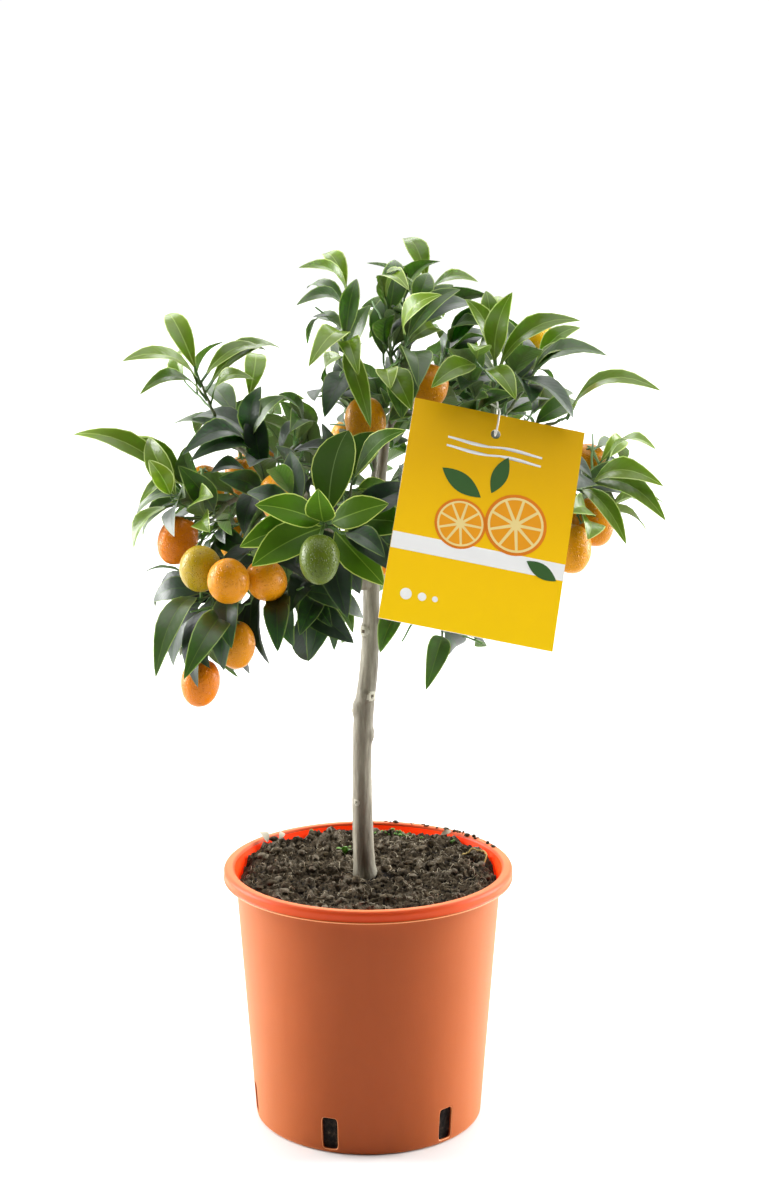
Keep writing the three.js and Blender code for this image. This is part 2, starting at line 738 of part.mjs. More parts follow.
// Two blades cross where the points of one lie on both sides of the other's outline.
function crosses(samples, frame) {
  const over = samples.map((place) => againstBlade(place, frame))
    .filter(({ at, across }) => at > 0.12 && at < 1.03 && Math.abs(across) < 1.05)
    .map(({ over: height }) => height);
  return over.length > 0 && Math.min(...over) < CLEAR.blade && Math.max(...over) > -CLEAR.blade;
}

// A root sunk in the twig, a ridge across the widest place, two shoulders and a point.
function leafSolid(frame) {
  const half = LEAF.thickness / 2;
  const { lower, upper } = LEAF;
  const vertices = [
    frame.base.clone().addScaledVector(frame.along, -LEAF.root),
    leafPoint(frame, lower.at, -lower.width, 0),
    leafPoint(frame, lower.at, 0, half),
    leafPoint(frame, lower.at, lower.width, 0),
    leafPoint(frame, lower.at, 0, -half),
    leafPoint(frame, upper.at, -upper.width, 0),
    leafPoint(frame, upper.at, upper.width, 0),
    leafPoint(frame, 1, 0, 0),
  ];
  const faces = [
    [0, 1, 2], [0, 2, 3], [0, 3, 4], [0, 4, 1],
    [2, 1, 5], [2, 5, 7], [2, 7, 6], [2, 6, 3],
    [4, 5, 1], [4, 7, 5], [4, 6, 7], [4, 3, 6],
  ];
  return solidFrom(facesToGeometry(vertices, faces));
}

function leafFits(frame, own, given) {
  const samples = leafSamples(frame);
  return baseClearOfTie(frame.base)
    && samples.every((place) => clearOfLimbs(place) && clearOfFruits(place) && clearOfTie(place))
    && (given || samples.at(-1).distanceTo(own.fork) < own.reach)
    && clearOfCard(samples, given)
    && samples.every((place) => nearest(place, own.wood) > CLEAR.twig)
    && samples.every((place) => inOwnCell(place, own))
    && own.leaves.every((other) => (
      (given && other.given) || (!crosses(samples, other) && !crosses(leafSamples(other), frame))));
}

// Where a leaf stands on its twig, counted from the tip.
function leafShare(leaf, count, length) {
  const pitch = Math.min(LEAF.pitch, (LEAF.crowd * length) / count);
  return 1 - (leaf * pitch) / length;
}

// Grows one leaf where it finds room: its headings and lengths are tried in turn.
function growLeaf(curve, share, choices, own, given) {
  const base = curve.getPoint(share);
  const towards = curve.getTangent(share).multiplyScalar(LEAF.faceAlong)
    .addScaledVector(UP, LEAF.faceUp)
    .addScaledVector(FRONT, given ? LEAF.faceFront : 0);
  const frame = choices.map(([along, length]) => leafFrame(base, along, towards, length))
    .find((choice) => leafFits(choice, own, given));
  if (frame) own.leaves.push({ ...frame, given });
}

// The outermost leaves of a shoot, whose headings are given.
function givenLeaves(curve, { leaves, headings }, own) {
  const length = curve.getLength();
  headings.forEach(([bearing, rise, size], leaf) => {
    const choices = SHRINKS.map((shrink) => [heading(bearing, rise), size * shrink]);
    growLeaf(curve, leafShare(leaf, leaves, length), choices, own, true);
  });
}

// The other leaves turn round the twig, and open wider the further they are from its tip.
function drawnLeaves(curve, first, count, own, draw) {
  const length = curve.getLength();
  const firstTurn = draw() * 360;
  for (let leaf = first; leaf < count; leaf += 1) {
    const share = leafShare(leaf, count, length);
    const young = mix(LEAF.young, 1, Math.min(leaf / LEAF.youngCount, 1));
    const size = LEAF.length * (LEAF.sizeLeast + LEAF.sizeSpread * draw()) * young;
    const turn = firstTurn + leaf * LEAF.turn + (draw() - 0.5) * LEAF.turnSpread;
    const open = mix(LEAF.openYoung, LEAF.openOld, leaf / (count - 1));
    const axis = curve.getTangent(share);
    const choices = SHRINKS.flatMap((shrink) => SWINGS.map((swing) => (
      [aroundTwig(axis, turn + swing, open), size * shrink])));
    growLeaf(curve, share, choices, own, false);
  }
}

function aroundTwig(axis, turn, open) {
  const across = Math.abs(axis.z) > 0.95 ? new THREE.Vector3(1, 0, 0) : UP.clone();
  across.addScaledVector(axis, -across.dot(axis)).normalize();
  const beside = axis.clone().cross(across);
  const out = across.multiplyScalar(Math.cos(radians(turn)))
    .addScaledVector(beside, Math.sin(radians(turn)));
  return axis.clone().multiplyScalar(Math.cos(radians(open)))
    .addScaledVector(out, Math.sin(radians(open)))
    .addScaledVector(UP, TWIG.lift)
    .normalize();
}

function twigSolid(path, startRadius, footAlong) {
  const last = path.length - 1;
  const radii = path.map((_, ring) => mix(startRadius, TWIG.endRadius, ring / last));
  return limb(path, radii, TWIG.sides, footAlong);
}

// A side twig leaves its shoot by the draw and is skipped where it would leave the space.
function sideTwigs(shoot, own, draw) {
  const share = SIDE_TWIG.from + SIDE_TWIG.span * draw();
  const turn = draw() * 360;
  const start = shoot.getPoint(share);
  const fits = ({ v1: middle, v2: tip }) => [middle, tip].every((place) => (
    clearOfLimbs(place) && inOwnCell(place, own) && clearOfFruits(place)))
    && clearOfCard([middle, tip]) && baseClearOfTie(start);
  const twigs = [0, 90, 180, 270].map((swing) => {
    const along = aroundTwig(shoot.getTangent(share), turn + swing, SIDE_TWIG.spread);
    const middle = start.clone().addScaledVector(along, SIDE_TWIG.length / 2);
    const tip = start.clone().addScaledVector(along, SIDE_TWIG.length);
    return new THREE.QuadraticBezierCurve3(start, middle, tip);
  });
  return twigs.filter(fits).slice(0, 1);
}

function fruitSolid({ middle, hold, axis }) {
  const place = ([share]) => middle.clone().addScaledVector(axis, share * FRUIT.halfLength);
  const path = [hold, ...FRUIT.outline.map(place)];
  const radii = FRUIT.outline.map(([, share]) => share * FRUIT.radius);
  return limb(path, [FRUIT.stalkRadius, ...radii], FRUIT.sides);
}

function massSolid(mass, own, draw) {
  const [stem, ...shoots] = own.curves;
  const twigs = shoots.flatMap((shoot) => sideTwigs(shoot, own, draw));
  own.wood.push(...twigs.map((twig) => [twig.v0, twig.v2]));
  own.wood.push(...own.fruits.map(({ hold, middle }) => [hold, middle]));
  shoots.forEach((shoot, index) => givenLeaves(shoot, mass.shoots[index], own));
  shoots.forEach((shoot, index) => {
    const { leaves, headings } = mass.shoots[index];
    drawnLeaves(shoot, headings.length, leaves, own, draw);
  });
  twigs.forEach((twig) => drawnLeaves(twig, 0, SIDE_TWIG.leaves, own, draw));
  const twigPath = (curve) => curve.getPoints(TWIG.rings);
  const mainPath = [...twigPath(stem), ...twigPath(shoots[0]).slice(1)];
  return joined([
    twigSolid(mainPath, TWIG.stemRadius, seatOf(mass).along),
    ...shoots.slice(1).map((shoot) => twigSolid(twigPath(shoot), TWIG.forkRadius)),
    ...twigs.map((twig) => twigSolid([twig.v0, twig.v2], TWIG.endRadius)),
    ...own.leaves.map(leafSolid),
    ...own.fruits.map(fruitSolid),
  ]);
}

// ---------------------------------------------------------------- card and tie
function cardSolid() {
  const sheet = new THREE.BoxGeometry(CARD.width, CARD.thickness, CARD.height);
  const hole = new THREE.CylinderGeometry(CARD.holeRadius, CARD.holeRadius, 4, 16);
  hole.translate(CARD.holeAside, 0, CARD.height / 2 - CARD.holeDrop);
  return solidFrom(sheet).subtract(solidFrom(hole));
}

function tieSolid() {
  return solidFrom(new THREE.TubeGeometry(tieCurve(), TIE.steps, TIE.radius, TIE.sides, true));
}

// ---------------------------------------------------------------- assembly
function named(name, solid, colour, roughness, metalness = 0) {
  const material = new THREE.MeshStandardMaterial({ color: colour, roughness, metalness });
  const mesh = new THREE.Mesh(geometryFrom(solid), material);
  mesh.name = name;
  return mesh;
}

const group = new THREE.Group();
group.add(named('pot', potSolid(), COLOUR.pot, 0.45));
group.add(named('soil', soilSolid(), COLOUR.soil, 0.95));
group.add(named('trunk', trunkSolid(0), COLOUR.bark, 0.85));
const trunkRoom = trunkSolid(GAP);
BOUGHS.forEach((bough) => {
  group.add(named(bough.name, joined([boughSolid(bough).subtract(trunkRoom)]), COLOUR.bark, 0.85));
});
MASSES.forEach((mass, index) => {
  const solid = massSolid(mass, skeletons[index], seeded(SEED + SEED_STEP * (index + 1)));
  group.add(named(mass.name, solid, COLOUR.leaf, 0.4));
});
const card = named('tag', cardSolid(), COLOUR.card, 0.5);
card.applyMatrix4(cardFrame);
group.add(card);
group.add(named('tag_tie', tieSolid(), COLOUR.tie, 0.6));

export default group;
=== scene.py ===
# %% [markdown]
# # A small kumquat tree in its pot
# A young kumquat, trained as a small standard: one slim bare trunk, a loose round crown of glossy
# leaves, oval fruits among them, a card on a tie, and an orange nursery pot filled with peat.
# The CAD model gives every size and place. It is loaded first as a fixed frame, and every piece
# made below is fitted to it, so nothing has to be moved into place afterwards.

# %% Load the frame
from math import atan2, cos, degrees, exp, hypot, pi, radians, sin, sqrt

import bmesh
import bpy
import numpy as np
from mathutils import Matrix, Vector, noise
from numpy.linalg import norm


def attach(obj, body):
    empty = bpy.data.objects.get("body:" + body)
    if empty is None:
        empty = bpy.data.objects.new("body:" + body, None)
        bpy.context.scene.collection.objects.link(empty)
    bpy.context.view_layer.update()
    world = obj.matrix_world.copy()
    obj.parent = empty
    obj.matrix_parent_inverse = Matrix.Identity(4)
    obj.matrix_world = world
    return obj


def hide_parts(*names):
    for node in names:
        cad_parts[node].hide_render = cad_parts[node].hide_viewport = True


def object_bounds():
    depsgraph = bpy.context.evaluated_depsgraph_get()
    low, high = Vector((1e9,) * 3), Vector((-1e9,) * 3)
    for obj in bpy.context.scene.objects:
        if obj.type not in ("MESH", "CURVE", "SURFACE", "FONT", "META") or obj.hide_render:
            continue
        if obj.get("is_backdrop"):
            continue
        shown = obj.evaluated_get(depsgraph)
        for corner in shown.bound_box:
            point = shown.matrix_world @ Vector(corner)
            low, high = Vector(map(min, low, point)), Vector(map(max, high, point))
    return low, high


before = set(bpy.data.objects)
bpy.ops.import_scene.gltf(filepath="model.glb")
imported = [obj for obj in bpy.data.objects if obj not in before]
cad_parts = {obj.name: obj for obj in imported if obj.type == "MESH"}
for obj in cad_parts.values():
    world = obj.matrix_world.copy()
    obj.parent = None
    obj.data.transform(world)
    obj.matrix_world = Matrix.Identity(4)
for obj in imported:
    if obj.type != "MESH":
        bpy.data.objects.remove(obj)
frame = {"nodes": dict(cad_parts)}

MM = 0.001  # the sizes below are in millimetres, and Blender's are in metres
CAD_LOW, CAD_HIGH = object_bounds()
print("CAD box in metres:", [round(side, 3) for side in (CAD_HIGH - CAD_LOW)])


# %% [markdown]
# ## Vectors, headings and seeded chance
# A plant is grown by a rule from headings and chance. Blender could scatter leaves as particles,
# but an export drops those. A Park-Miller generator draws the same numbers on every run and in
# any language, so the solids and the pieces below get the same leaves.

# %% Vectors and headings
UP = np.array([0.0, 0.0, 1.0])
FRONT = np.array([0.0, -1.0, 0.0])


def vec(*numbers):
    return np.array(numbers, dtype=float)


def unit(vector):
    return vector / norm(vector)


def mix(start, end, share):
    return start + (end - start) * share


def heading(bearing, rise):
    """Unit vector from a bearing round the trunk and a rise over the level, in degrees."""
    flat = cos(radians(rise))
    turn = radians(bearing)
    return vec(flat * cos(turn), flat * sin(turn), sin(radians(rise)))


print("bearing 90, rise 30:", heading(90, 30).round(3))


# %% Seeded chance
def seeded(seed):
    state = [seed]

    def draw():
        state[0] = state[0] * 48271 % 2147483647
        return state[0] / 2147483647

    return draw


print("seed 1 draws", round(seeded(1)(), 8))


# %% [markdown]
# ## Curves for wood
# A twig bends one way, so a quadratic Bezier curve is enough for it. The trunk and the tie follow
# a smooth line through many given places. Both could be curve objects in Blender. They are
# formulas, because each leaf asks for a place and a direction anywhere along its twig.

# %% A twig's arc
class Arc:
    """A twig's line: a quadratic Bezier curve from start to end, bent towards middle."""

    def __init__(self, start, middle, end):
        self.start, self.middle, self.end = start, middle, end

    def at(self, share):
        rest = 1 - share
        return rest * rest * self.start + 2 * rest * share * self.middle + share * share * self.end

    def along(self, share):
        return unit((1 - share) * (self.middle - self.start) + share * (self.end - self.middle))

    def points(self, steps):
        return np.array([self.at(step / steps) for step in range(steps + 1)])

    def length(self):
        return float(norm(np.diff(self.points(200), axis=0), axis=1).sum())


print("an arc's length:", Arc(-UP, FRONT, UP).length())


# %% A smooth line through stations
def smooth_line(stations, share, closed=False):
    count = len(stations)
    place = share * (count - 1 + closed)
    first = min(int(place), count - 2 + closed)
    near, far = stations[first], stations[(first + 1) % count]
    if closed:
        before, after = stations[first - 1], stations[(first + 2) % count]
    else:
        before = stations[first - 1] if first > 0 else 2 * near - far
        after = stations[first + 2] if first + 2 < count else 2 * far - near
    leave, arrive = (far - before) / 2, (after - near) / 2
    step = place - first
    bend = -3 * near + 3 * far - 2 * leave - arrive
    settle = 2 * near - 2 * far + leave + arrive
    return near + leave * step + bend * step**2 + settle * step**3


def smooth_points(stations, shares, closed=False):
    return np.array([smooth_line(stations, share, closed) for share in shares])


# %% [markdown]
# ## The named sizes
# These are the plant's real sizes in millimetres, the same ones that its solids are made from.

# %% Sizes of pot, soil, trunk and boughs
GAP = 0.3  # air between pieces that touch
SEED, SEED_STEP = 11, 7919
POT = dict(rim=100, height=180, base=79, wall_top=91.4, wall=1.6, floor=2.2,
           lip_height=8.5, lip_width=8, corner=2.5)
SLOT = dict(count=6, width=11, height=23, foot=3, first=-108.7)
SOIL_LEVEL = 171.7
# Height, lean along X and Y, and radius.
TRUNK = np.array([
    (172, -2.0, 0, 8.6), (180, -2.6, 0, 7.3), (203, -3.7, 0, 7.1), (235, -4.1, 0, 6.6),
    (262, -3.9, 0, 6.5), (290, -2.8, 0, 6.8), (319, 0.6, 0, 6.2), (352, 2.1, 0, 5.6),
    (390, 2.9, 0, 5.5), (430, 6.5, 2, 4.0), (474, 11.6, 5, 3.1),
])
TRUNK_POINTS = TRUNK[:, [1, 2, 0]]
TRUNK_RINGS = 16
# Height, bearing and size.
KNOTS = [(346, 205, 3.2), (301, 262, 3.0), (291, 190, 3.6), (273, -8, 3.4), (240, 80, 3.2)]
BOUGHS = {
    "bough_left": dict(foot=392, tip=(-52, -24, 444), thick=4.4, thin=3.2),
    "bough_left_low": dict(foot=378, tip=(-44, -42, 400), thick=3.6, thin=2.8),
    "bough_front": dict(foot=406, tip=(-11, -56, 430), thick=3.4, thin=2.3),
    "bough_right": dict(foot=400, tip=(66, -27, 460), thick=4.2, thin=3.2),
    "bough_right_low": dict(foot=352, tip=(38, -4, 371), thick=2.8, thin=2.1),
    "bough_back_left": dict(foot=385, tip=(-38, 44, 425), thick=3.8, thin=2.9),
    "bough_back_right": dict(foot=380, tip=(48, 42, 428), thick=3.8, thin=2.9),
    "bough_back": dict(foot=412, tip=(4, 58, 436), thick=3.4, thin=2.8),
}
BOUGH_RINGS, BOUGH_SAG = 5, 0.16
print("boughs:", len(BOUGHS), "trunk's top in mm:", TRUNK[-1, 0])

# %% Sizes of twigs, leaves, fruits, card and tie
TWIG = dict(stem=1.9, fork=1.6, end=1.05, rings=3, seat=2.3, stem_bend=0.35, sag=0.1, lift=0.12)
SIDE_TWIG = dict(length=30, spread=55, leaves=3, first=0.52, span=0.28)
LEAF = dict(length=68, young=0.62, slim=0.4, fold=0.14, arch=0.13, pitch=6.5, crowd=0.85,
            turn=137.5, turn_spread=30, least=0.82, spread=0.3, young_count=4,
            open_young=28, open_old=74, face_along=0.6, face_up=0.8, face_front=1)
FRUIT = dict(radius=13.6, half=16.8, stalk=25, holds=12)
CARD = dict(width=108.5, height=142, thickness=1, middle=(71.6, -132, 442.4), roll=-13.5,
            lean=25.2, yaw=9.8, hole_drop=12.9, hole_aside=-1, hole_radius=3)
TIE = dict(radius=0.6, steps=24, loop=2.4, clear=3, base_clear=7, hold=0.42)
CLEAR = dict(cell=1, limb=1.6, fruit=1.5, card=1.6, blade=1, twig=2.2)
# A leaf without room is tried again at these swings, in degrees, and these shares of its length.
SHRINKS, SWINGS = (1, 0.85, 0.7), (0, 30, -30, 60, -60, 95, -95)
print("a grown leaf in mm:", LEAF["length"], "by", round(LEAF["length"] * LEAF["slim"], 1))

# %% [markdown]
# ## The plan of the crown
# The crown is several masses of foliage. Each grows on one bough's tip or on the leader: a stem
# runs to a fork, shoots run from there to their tips, and the outermost leaves of a shoot have a
# given bearing, rise and length, because they draw the crown's outline. All other leaves are
# drawn by chance. The tone says how light a mass's leaves are: partly how young they are, partly
# painted light on masses at the top and outside and painted shade on low and inner ones. Each
# fruit has its ripeness.

# %% The masses of foliage
def shoot(tip, leaves, *headings):
    """A shoot's tip, its number of leaves, and bearing, rise and length of the outermost."""
    return dict(tip=tip, leaves=leaves, headings=headings)


def mass(name, on, fork, reach, tone, shoots, fruits):
    return dict(name=name, on=on, fork=fork, reach=reach, tone=tone, shoots=shoots, fruits=fruits)


MASSES = [
    mass("upper_left", "bough_left", (-92, -14, 478), 78, "light", [
        shoot((-110, -18, 518), 9, (125, 45, 58), (-140, 20, 64), (30, 25, 64), (-135, 10, 56),
              (-40, 30, 50)),
        shoot((-80, 8, 497), 6, (85, 40, 50)),
    ], [((-84, 14, 447), "orange")]),
    mass("far_left", "bough_left", (-92, -34, 438), 72, "light", [
        shoot((-120, -32, 445), 8, (-175, 30, 81), (155, 40, 56), (-130, 5, 48), (160, -20, 50),
              (155, -35, 60)),
        shoot((-104, -66, 431), 5),
    ], [((-108, -5, 444), "orange"), ((-122, -62, 419), "ripe")]),
    mass("left_middle", "bough_left", (-66, -42, 464), 72, "dark", [
        shoot((-75, -54, 480), 6, (-40, 50, 44), (-60, 75, 42), (-140, 5, 56), (-139, 5, 60)),
        shoot((-42, -34, 480), 6, (-115, 47, 46), (-92, 22, 44)),
        shoot((-64, -72, 446), 5, (-147, 28, 38)),
    ], [((-54, -96, 452), "golden")]),
    mass("lower_left", "bough_left_low", (-80, -62, 396), 84, "dark", [
        shoot((-106, -78, 384), 7, (-115, -30, 70), (135, -55, 64), (155, -10, 46)),
        shoot((-86, -98, 378), 6, (-115, -25, 66)),
    ], [((-85, -128, 406), "orange"), ((-104, -104, 409), "lime"), ((-84, -84, 355), "orange"),
       ((-107, -84, 330), "ripe")]),
    mass("low_front", "bough_left_low", (-46, -62, 390), 62, "dark", [
        shoot((-58, -94, 388), 5, (-85, -40, 42), (-82, -25, 36)),
        shoot((-28, -70, 382), 5, (-54, -24, 36), (-101, -51, 45), (-63, -42, 42)),
    ], [((-63, -106, 402), "orange")]),
    mass("front", "bough_front", (-15, -86, 436), 82, "rosette", [
        shoot((-26, -126, 441), 12, (-95, 40, 40), (-150, 20, 50), (-25, 22, 45), (75, 50, 72),
              (-151, -20, 57), (-36, -38, 52), (-155, -6, 61), (-28, 5, 60)),
        shoot((-9, -80, 460), 5, (80, 20, 50), (45, -15, 50)),
    ], [((-28, -156, 425), "green"), ((7, -60, 411), "ripe")]),
    mass("top_left", "trunk", (-8, -16, 516), 62, "light", [
        shoot((-12, -10, 572), 9, (125, 40, 40), (-145, 35, 46), (135, 20, 44), (-140, 20, 46),
              (130, -10, 50)),
        shoot((-14, -56, 544), 7, (-111, -6, 58), (-80, -10, 46), (110, -35, 44)),
    ], [((-1, -36, 492), "golden")]),
    mass("top_middle", "trunk", (18, -8, 514), 90, "light", [
        shoot((40, 15, 574), 8, (120, 45, 46), (-25, 20, 40), (60, -10, 46)),
        shoot((24, -54, 546), 7, (-60, 39, 52), (60, 5, 50), (-58, 18, 46)),
        shoot((12, -10, 566), 9, (-73, 17, 50), (-76, 45, 44)),
    ], []),
    mass("top_right", "trunk", (38, 20, 502), 66, "grown", [
        shoot((55, 12, 534), 7, (-55, 30, 40), (-87, 46, 40)),
        shoot((62, -10, 514), 6, (-115, 48, 44)),
    ], [((39, -36, 514), "orange")]),
    mass("right_top", "bough_right", (80, -62, 492), 84, "light", [
        shoot((81, -74, 536), 9, (85, 50, 50), (-75, 60, 56), (-20, 36, 65), (-147, 67, 58),
              (-168, 23, 62), (-143, 28, 52)),
        shoot((108, -45, 526), 7, (0, 45, 40), (-30, 35, 40), (-20, 25, 58)),
    ], [((109.5, -10, 543), "yellow")]),
    mass("right_upper", "bough_right", (106, -32, 488), 90, "light", [
        shoot((128, -44, 496), 7, (-40, 20, 74), (-43, -11, 54)),
    ], []),
    mass("right", "bough_right", (116, -42, 454), 86, "light", [
        shoot((142, -60, 452), 7, (-40, 10, 56), (-40, -10, 64), (-50, -33, 53)),
        shoot((156, -22, 463), 6, (-45, 20, 44), (55, 20, 40)),
        shoot((130, -46, 428), 4),
    ], [((146, 0, 457), "orange"), ((145, -62, 431), "orange"), ((130, -86, 418), "golden")]),
    mass("low_right", "bough_right_low", (48, -14, 366), 54, "dark", [
        shoot((50, -22, 346), 3, (-105, -30, 50), (75, -30, 46)),
        shoot((26, -40, 372), 2, (-134, -47, 38)),
    ], []),
    mass("back_left", "bough_back_left", (-58, 70, 450), 78, "grown", [
        shoot((-84, 84, 458), 7),
        shoot((-40, 92, 450), 7),
    ], [((-80, 108, 446), "orange")]),
    mass("back_left_low", "bough_back_left", (-66, 64, 416), 78, "dark", [
        shoot((-102, 72, 418), 6),
        shoot((-70, 104, 400), 7),
    ], [((-96, 98, 390), "golden"), ((-58, 116, 376), "orange")]),
    mass("back_right", "bough_back_right", (64, 64, 466), 78, "grown", [
        shoot((88, 76, 496), 7),
        shoot((50, 84, 506), 7),
    ], [((86, 106, 470), "orange")]),
    mass("back_right_low", "bough_back_right", (78, 60, 430), 78, "dark", [
        shoot((116, 58, 440), 7),
        shoot((88, 98, 412), 7),
    ], [((114, 86, 412), "ripe")]),
    mass("back", "bough_back", (4, 84, 458), 66, "grown", [
        shoot((-8, 118, 482), 7),
        shoot((14, 86, 508), 7),
    ], [((-16, 142, 455), "golden")]),
    mass("back_low", "bough_back", (10, 92, 420), 74, "dark", [
        shoot((6, 126, 406), 7),
        shoot((42, 88, 394), 7),
    ], [((24, 128, 380), "orange")]),
]
print("shoots:", sum(len(one["shoots"]) for one in MASSES))

# %% [markdown]
# ## Stems, shoots and fruit stalks
# Stems that share one carrier stand in a small ring on its end, in the order of their forks, and a
# fruit hangs where its stalk gets about a usual length. The places could be typed in. They are
# worked out, so a bough can be moved and what it bears goes with it.

# %% Lines of the trunk and boughs
def trunk_middle(height):
    return vec(*[np.interp(height, TRUNK[:, 0], TRUNK[:, axis]) for axis in (1, 2)], height)


def trunk_radius(height):
    return float(np.interp(height, TRUNK[:, 0], TRUNK[:, 3]))


def bough_arc(bough):
    foot, tip = trunk_middle(bough["foot"]), vec(*bough["tip"])
    middle = (foot + tip) / 2 - UP * BOUGH_SAG * norm(tip - foot)
    return Arc(foot, middle, tip)


def carrier_end(name):
    """The last two points of the line that a stem stands on."""
    if name in BOUGHS:
        return bough_arc(BOUGHS[name]).points(BOUGH_RINGS)[-2:]
    return [smooth_line(TRUNK_POINTS, share) for share in (1 - 1 / TRUNK_RINGS, 1)]


print("the left bough measures", round(bough_arc(BOUGHS["bough_left"]).length(), 1), "mm")


# %% Where a stem stands on its carrier
WHOLE_TURN = 2 * pi
ALMOST = 1e-6


def seat_of(mass):
    sharers = [other for other in MASSES if other["on"] == mass["on"]]
    before, tip = carrier_end(mass["on"])
    along = unit(tip - before)
    across = vec(*sharers[0]["fork"]) - tip
    across = unit(across - along * across.dot(along))
    beside = np.cross(along, across)

    def turn_of(other):
        reach = vec(*other["fork"]) - tip
        turn = atan2(reach.dot(beside), reach.dot(across))
        return (turn + WHOLE_TURN + ALMOST) % WHOLE_TURN

    rank = sum(turn_of(other) < turn_of(mass) for other in sharers)
    angle = WHOLE_TURN * rank / len(sharers)
    reach = TWIG["seat"] if len(sharers) > 1 else 0
    place = tip + along * GAP
    place = place + across * reach * cos(angle) + beside * reach * sin(angle)
    return place, along


print("the first stem stands at", seat_of(MASSES[0])[0].round(1))


# %% Segments, and where a fruit hangs
def segments_of(arc):
    path = arc.points(TWIG["rings"])
    return list(zip(path[:-1], path[1:]))


def fruit_frame(middle, hue, shoots):
    holds = [point for shoot in shoots for point in shoot.points(FRUIT["holds"])]
    hold = min(holds, key=lambda place: abs(norm(place - middle) - FRUIT["stalk"]))
    return dict(middle=middle, hold=hold, axis=unit(middle - hold), hue=hue)


# %% The skeleton of each mass
class Skeleton:
    """A mass's twigs, fruits and leaves, and the wood that its leaves keep clear of."""

    def __init__(self, mass):
        self.mass = mass
        self.fork = vec(*mass["fork"])
        seat, along = seat_of(mass)
        bend = seat + along * norm(self.fork - seat) * TWIG["stem_bend"]
        self.stem = Arc(seat, bend, self.fork)
        self.shoots = [self.shoot_arc(vec(*shoot["tip"])) for shoot in mass["shoots"]]
        self.side_twigs = []
        self.fine_twigs = []
        self.fruits = [fruit_frame(vec(*place), hue, self.shoots) for place, hue in mass["fruits"]]
        self.segments = [part for arc in [self.stem, *self.shoots] for part in segments_of(arc)]
        self.wood = list(self.segments)
        self.leaves = []

    def shoot_arc(self, tip):
        sag = UP * TWIG["sag"] * norm(tip - self.fork)
        return Arc(self.fork, (self.fork + tip) / 2 - sag, tip)


skeletons = [Skeleton(mass) for mass in MASSES]
fruits = [fruit for skeleton in skeletons for fruit in skeleton.fruits]
MASS_NAMED = {own.mass["name"]: own for own in skeletons}
print("masses:", len(skeletons), "fruits:", len(fruits))

# %% [markdown]
# ## The card's place and the tie's line
# The card hangs on a thin tie through its hole, over its top edge and round a shoot. Both are
# worked out before the leaves, because the leaves grow round them.

# %% The card's frame and the tie's line
def card_frame():
    lean = Matrix.Rotation(radians(-CARD["lean"]), 4, "X")
    roll = Matrix.Rotation(radians(-CARD["roll"]), 4, "Y")
    yaw = Matrix.Rotation(radians(CARD["yaw"]), 4, "Z")
    return Matrix.Translation(CARD["middle"]) @ yaw @ lean @ roll


CARD_FRAME = np.array(card_frame())
CARD_TURN, CARD_MIDDLE = CARD_FRAME[:3, :3], CARD_FRAME[:3, 3]


def on_card(out, rise):
    return CARD_TURN @ vec(CARD["hole_aside"], -out, CARD["height"] / 2 + rise) + CARD_MIDDLE


def tie_stations():
    held = MASS_NAMED["right_top"].shoots[0].at(TIE["hold"])
    drop = CARD["hole_drop"]
    to_shoot = [on_card(0, -drop), on_card(2.4, 4 - drop), on_card(2.6, -3), on_card(-1, 4)]
    round_shoot = [held + heading(bearing, 0) * TIE["loop"] for bearing in (180, 90, 0)]
    return [*to_shoot, *round_shoot, on_card(-6, -4), on_card(-2.6, 1 - drop)]


TIE_STATIONS = tie_stations()
tie_path = smooth_points(TIE_STATIONS, np.arange(TIE["steps"]) / TIE["steps"], closed=True)
print("the card's middle:", CARD_MIDDLE.round(1))

# %% [markdown]
# ## The rule of space
# A leaf grows only where it has room: in its own mass's share of the crown, clear of limbs,
# fruits, card and tie, and through no other leaf. Blender's own ray casts could test that. NumPy
# measures all points of a leaf against all line segments in one sweep, which is far quicker.

# %% Distances to line segments
def ends_of(segments):
    return np.array([start for start, _ in segments]), np.array([end for _, end in segments])


def distances(places, ends):
    """How far each place lies from each segment: a row for a place, a column for a segment."""
    starts, lines = ends[0], ends[1] - ends[0]
    reach = places[:, None] - starts
    share = np.clip((reach * lines).sum(-1) / (lines**2).sum(-1), 0, 1)
    return norm(reach - share[..., None] * lines, axis=-1)


CELL_ENDS = ends_of([part for own in skeletons for part in own.segments])
CELL_OWNERS = np.array([index for index, own in enumerate(skeletons) for _ in own.segments])
limb_segments = list(zip(TRUNK_POINTS[:-1], TRUNK_POINTS[1:]))
limb_radii = list(TRUNK[:-1, 3])
for bough in BOUGHS.values():
    limb_segments += segments_of(bough_arc(bough))
    limb_radii += [bough["thick"]] * TWIG["rings"]
LIMB_ENDS, LIMB_ROOM = ends_of(limb_segments), np.array(limb_radii) + CLEAR["limb"]
TIE_ENDS = (tie_path, np.roll(tie_path, -1, axis=0))
FRUIT_MIDDLES = np.array([fruit["middle"] for fruit in fruits])
FRUIT_AXES = np.array([fruit["axis"] for fruit in fruits])
print("segments of twigs:", len(CELL_OWNERS), "of limbs:", len(LIMB_ROOM))


# %% Clear of wood, fruits, tie and card
def clear_of(ends, places, room):
    return bool((distances(places, ends) > room).all())


def clear_of_fruits(places):
    offset = places[:, None] - FRUIT_MIDDLES
    along = (offset * FRUIT_AXES).sum(-1)
    across = np.sqrt(np.maximum((offset**2).sum(-1) - along**2, 0))
    long_share = along / (FRUIT["half"] + CLEAR["fruit"])
    wide_share = across / (FRUIT["radius"] + CLEAR["fruit"])
    return bool((np.hypot(long_share, wide_share) > 1).all())


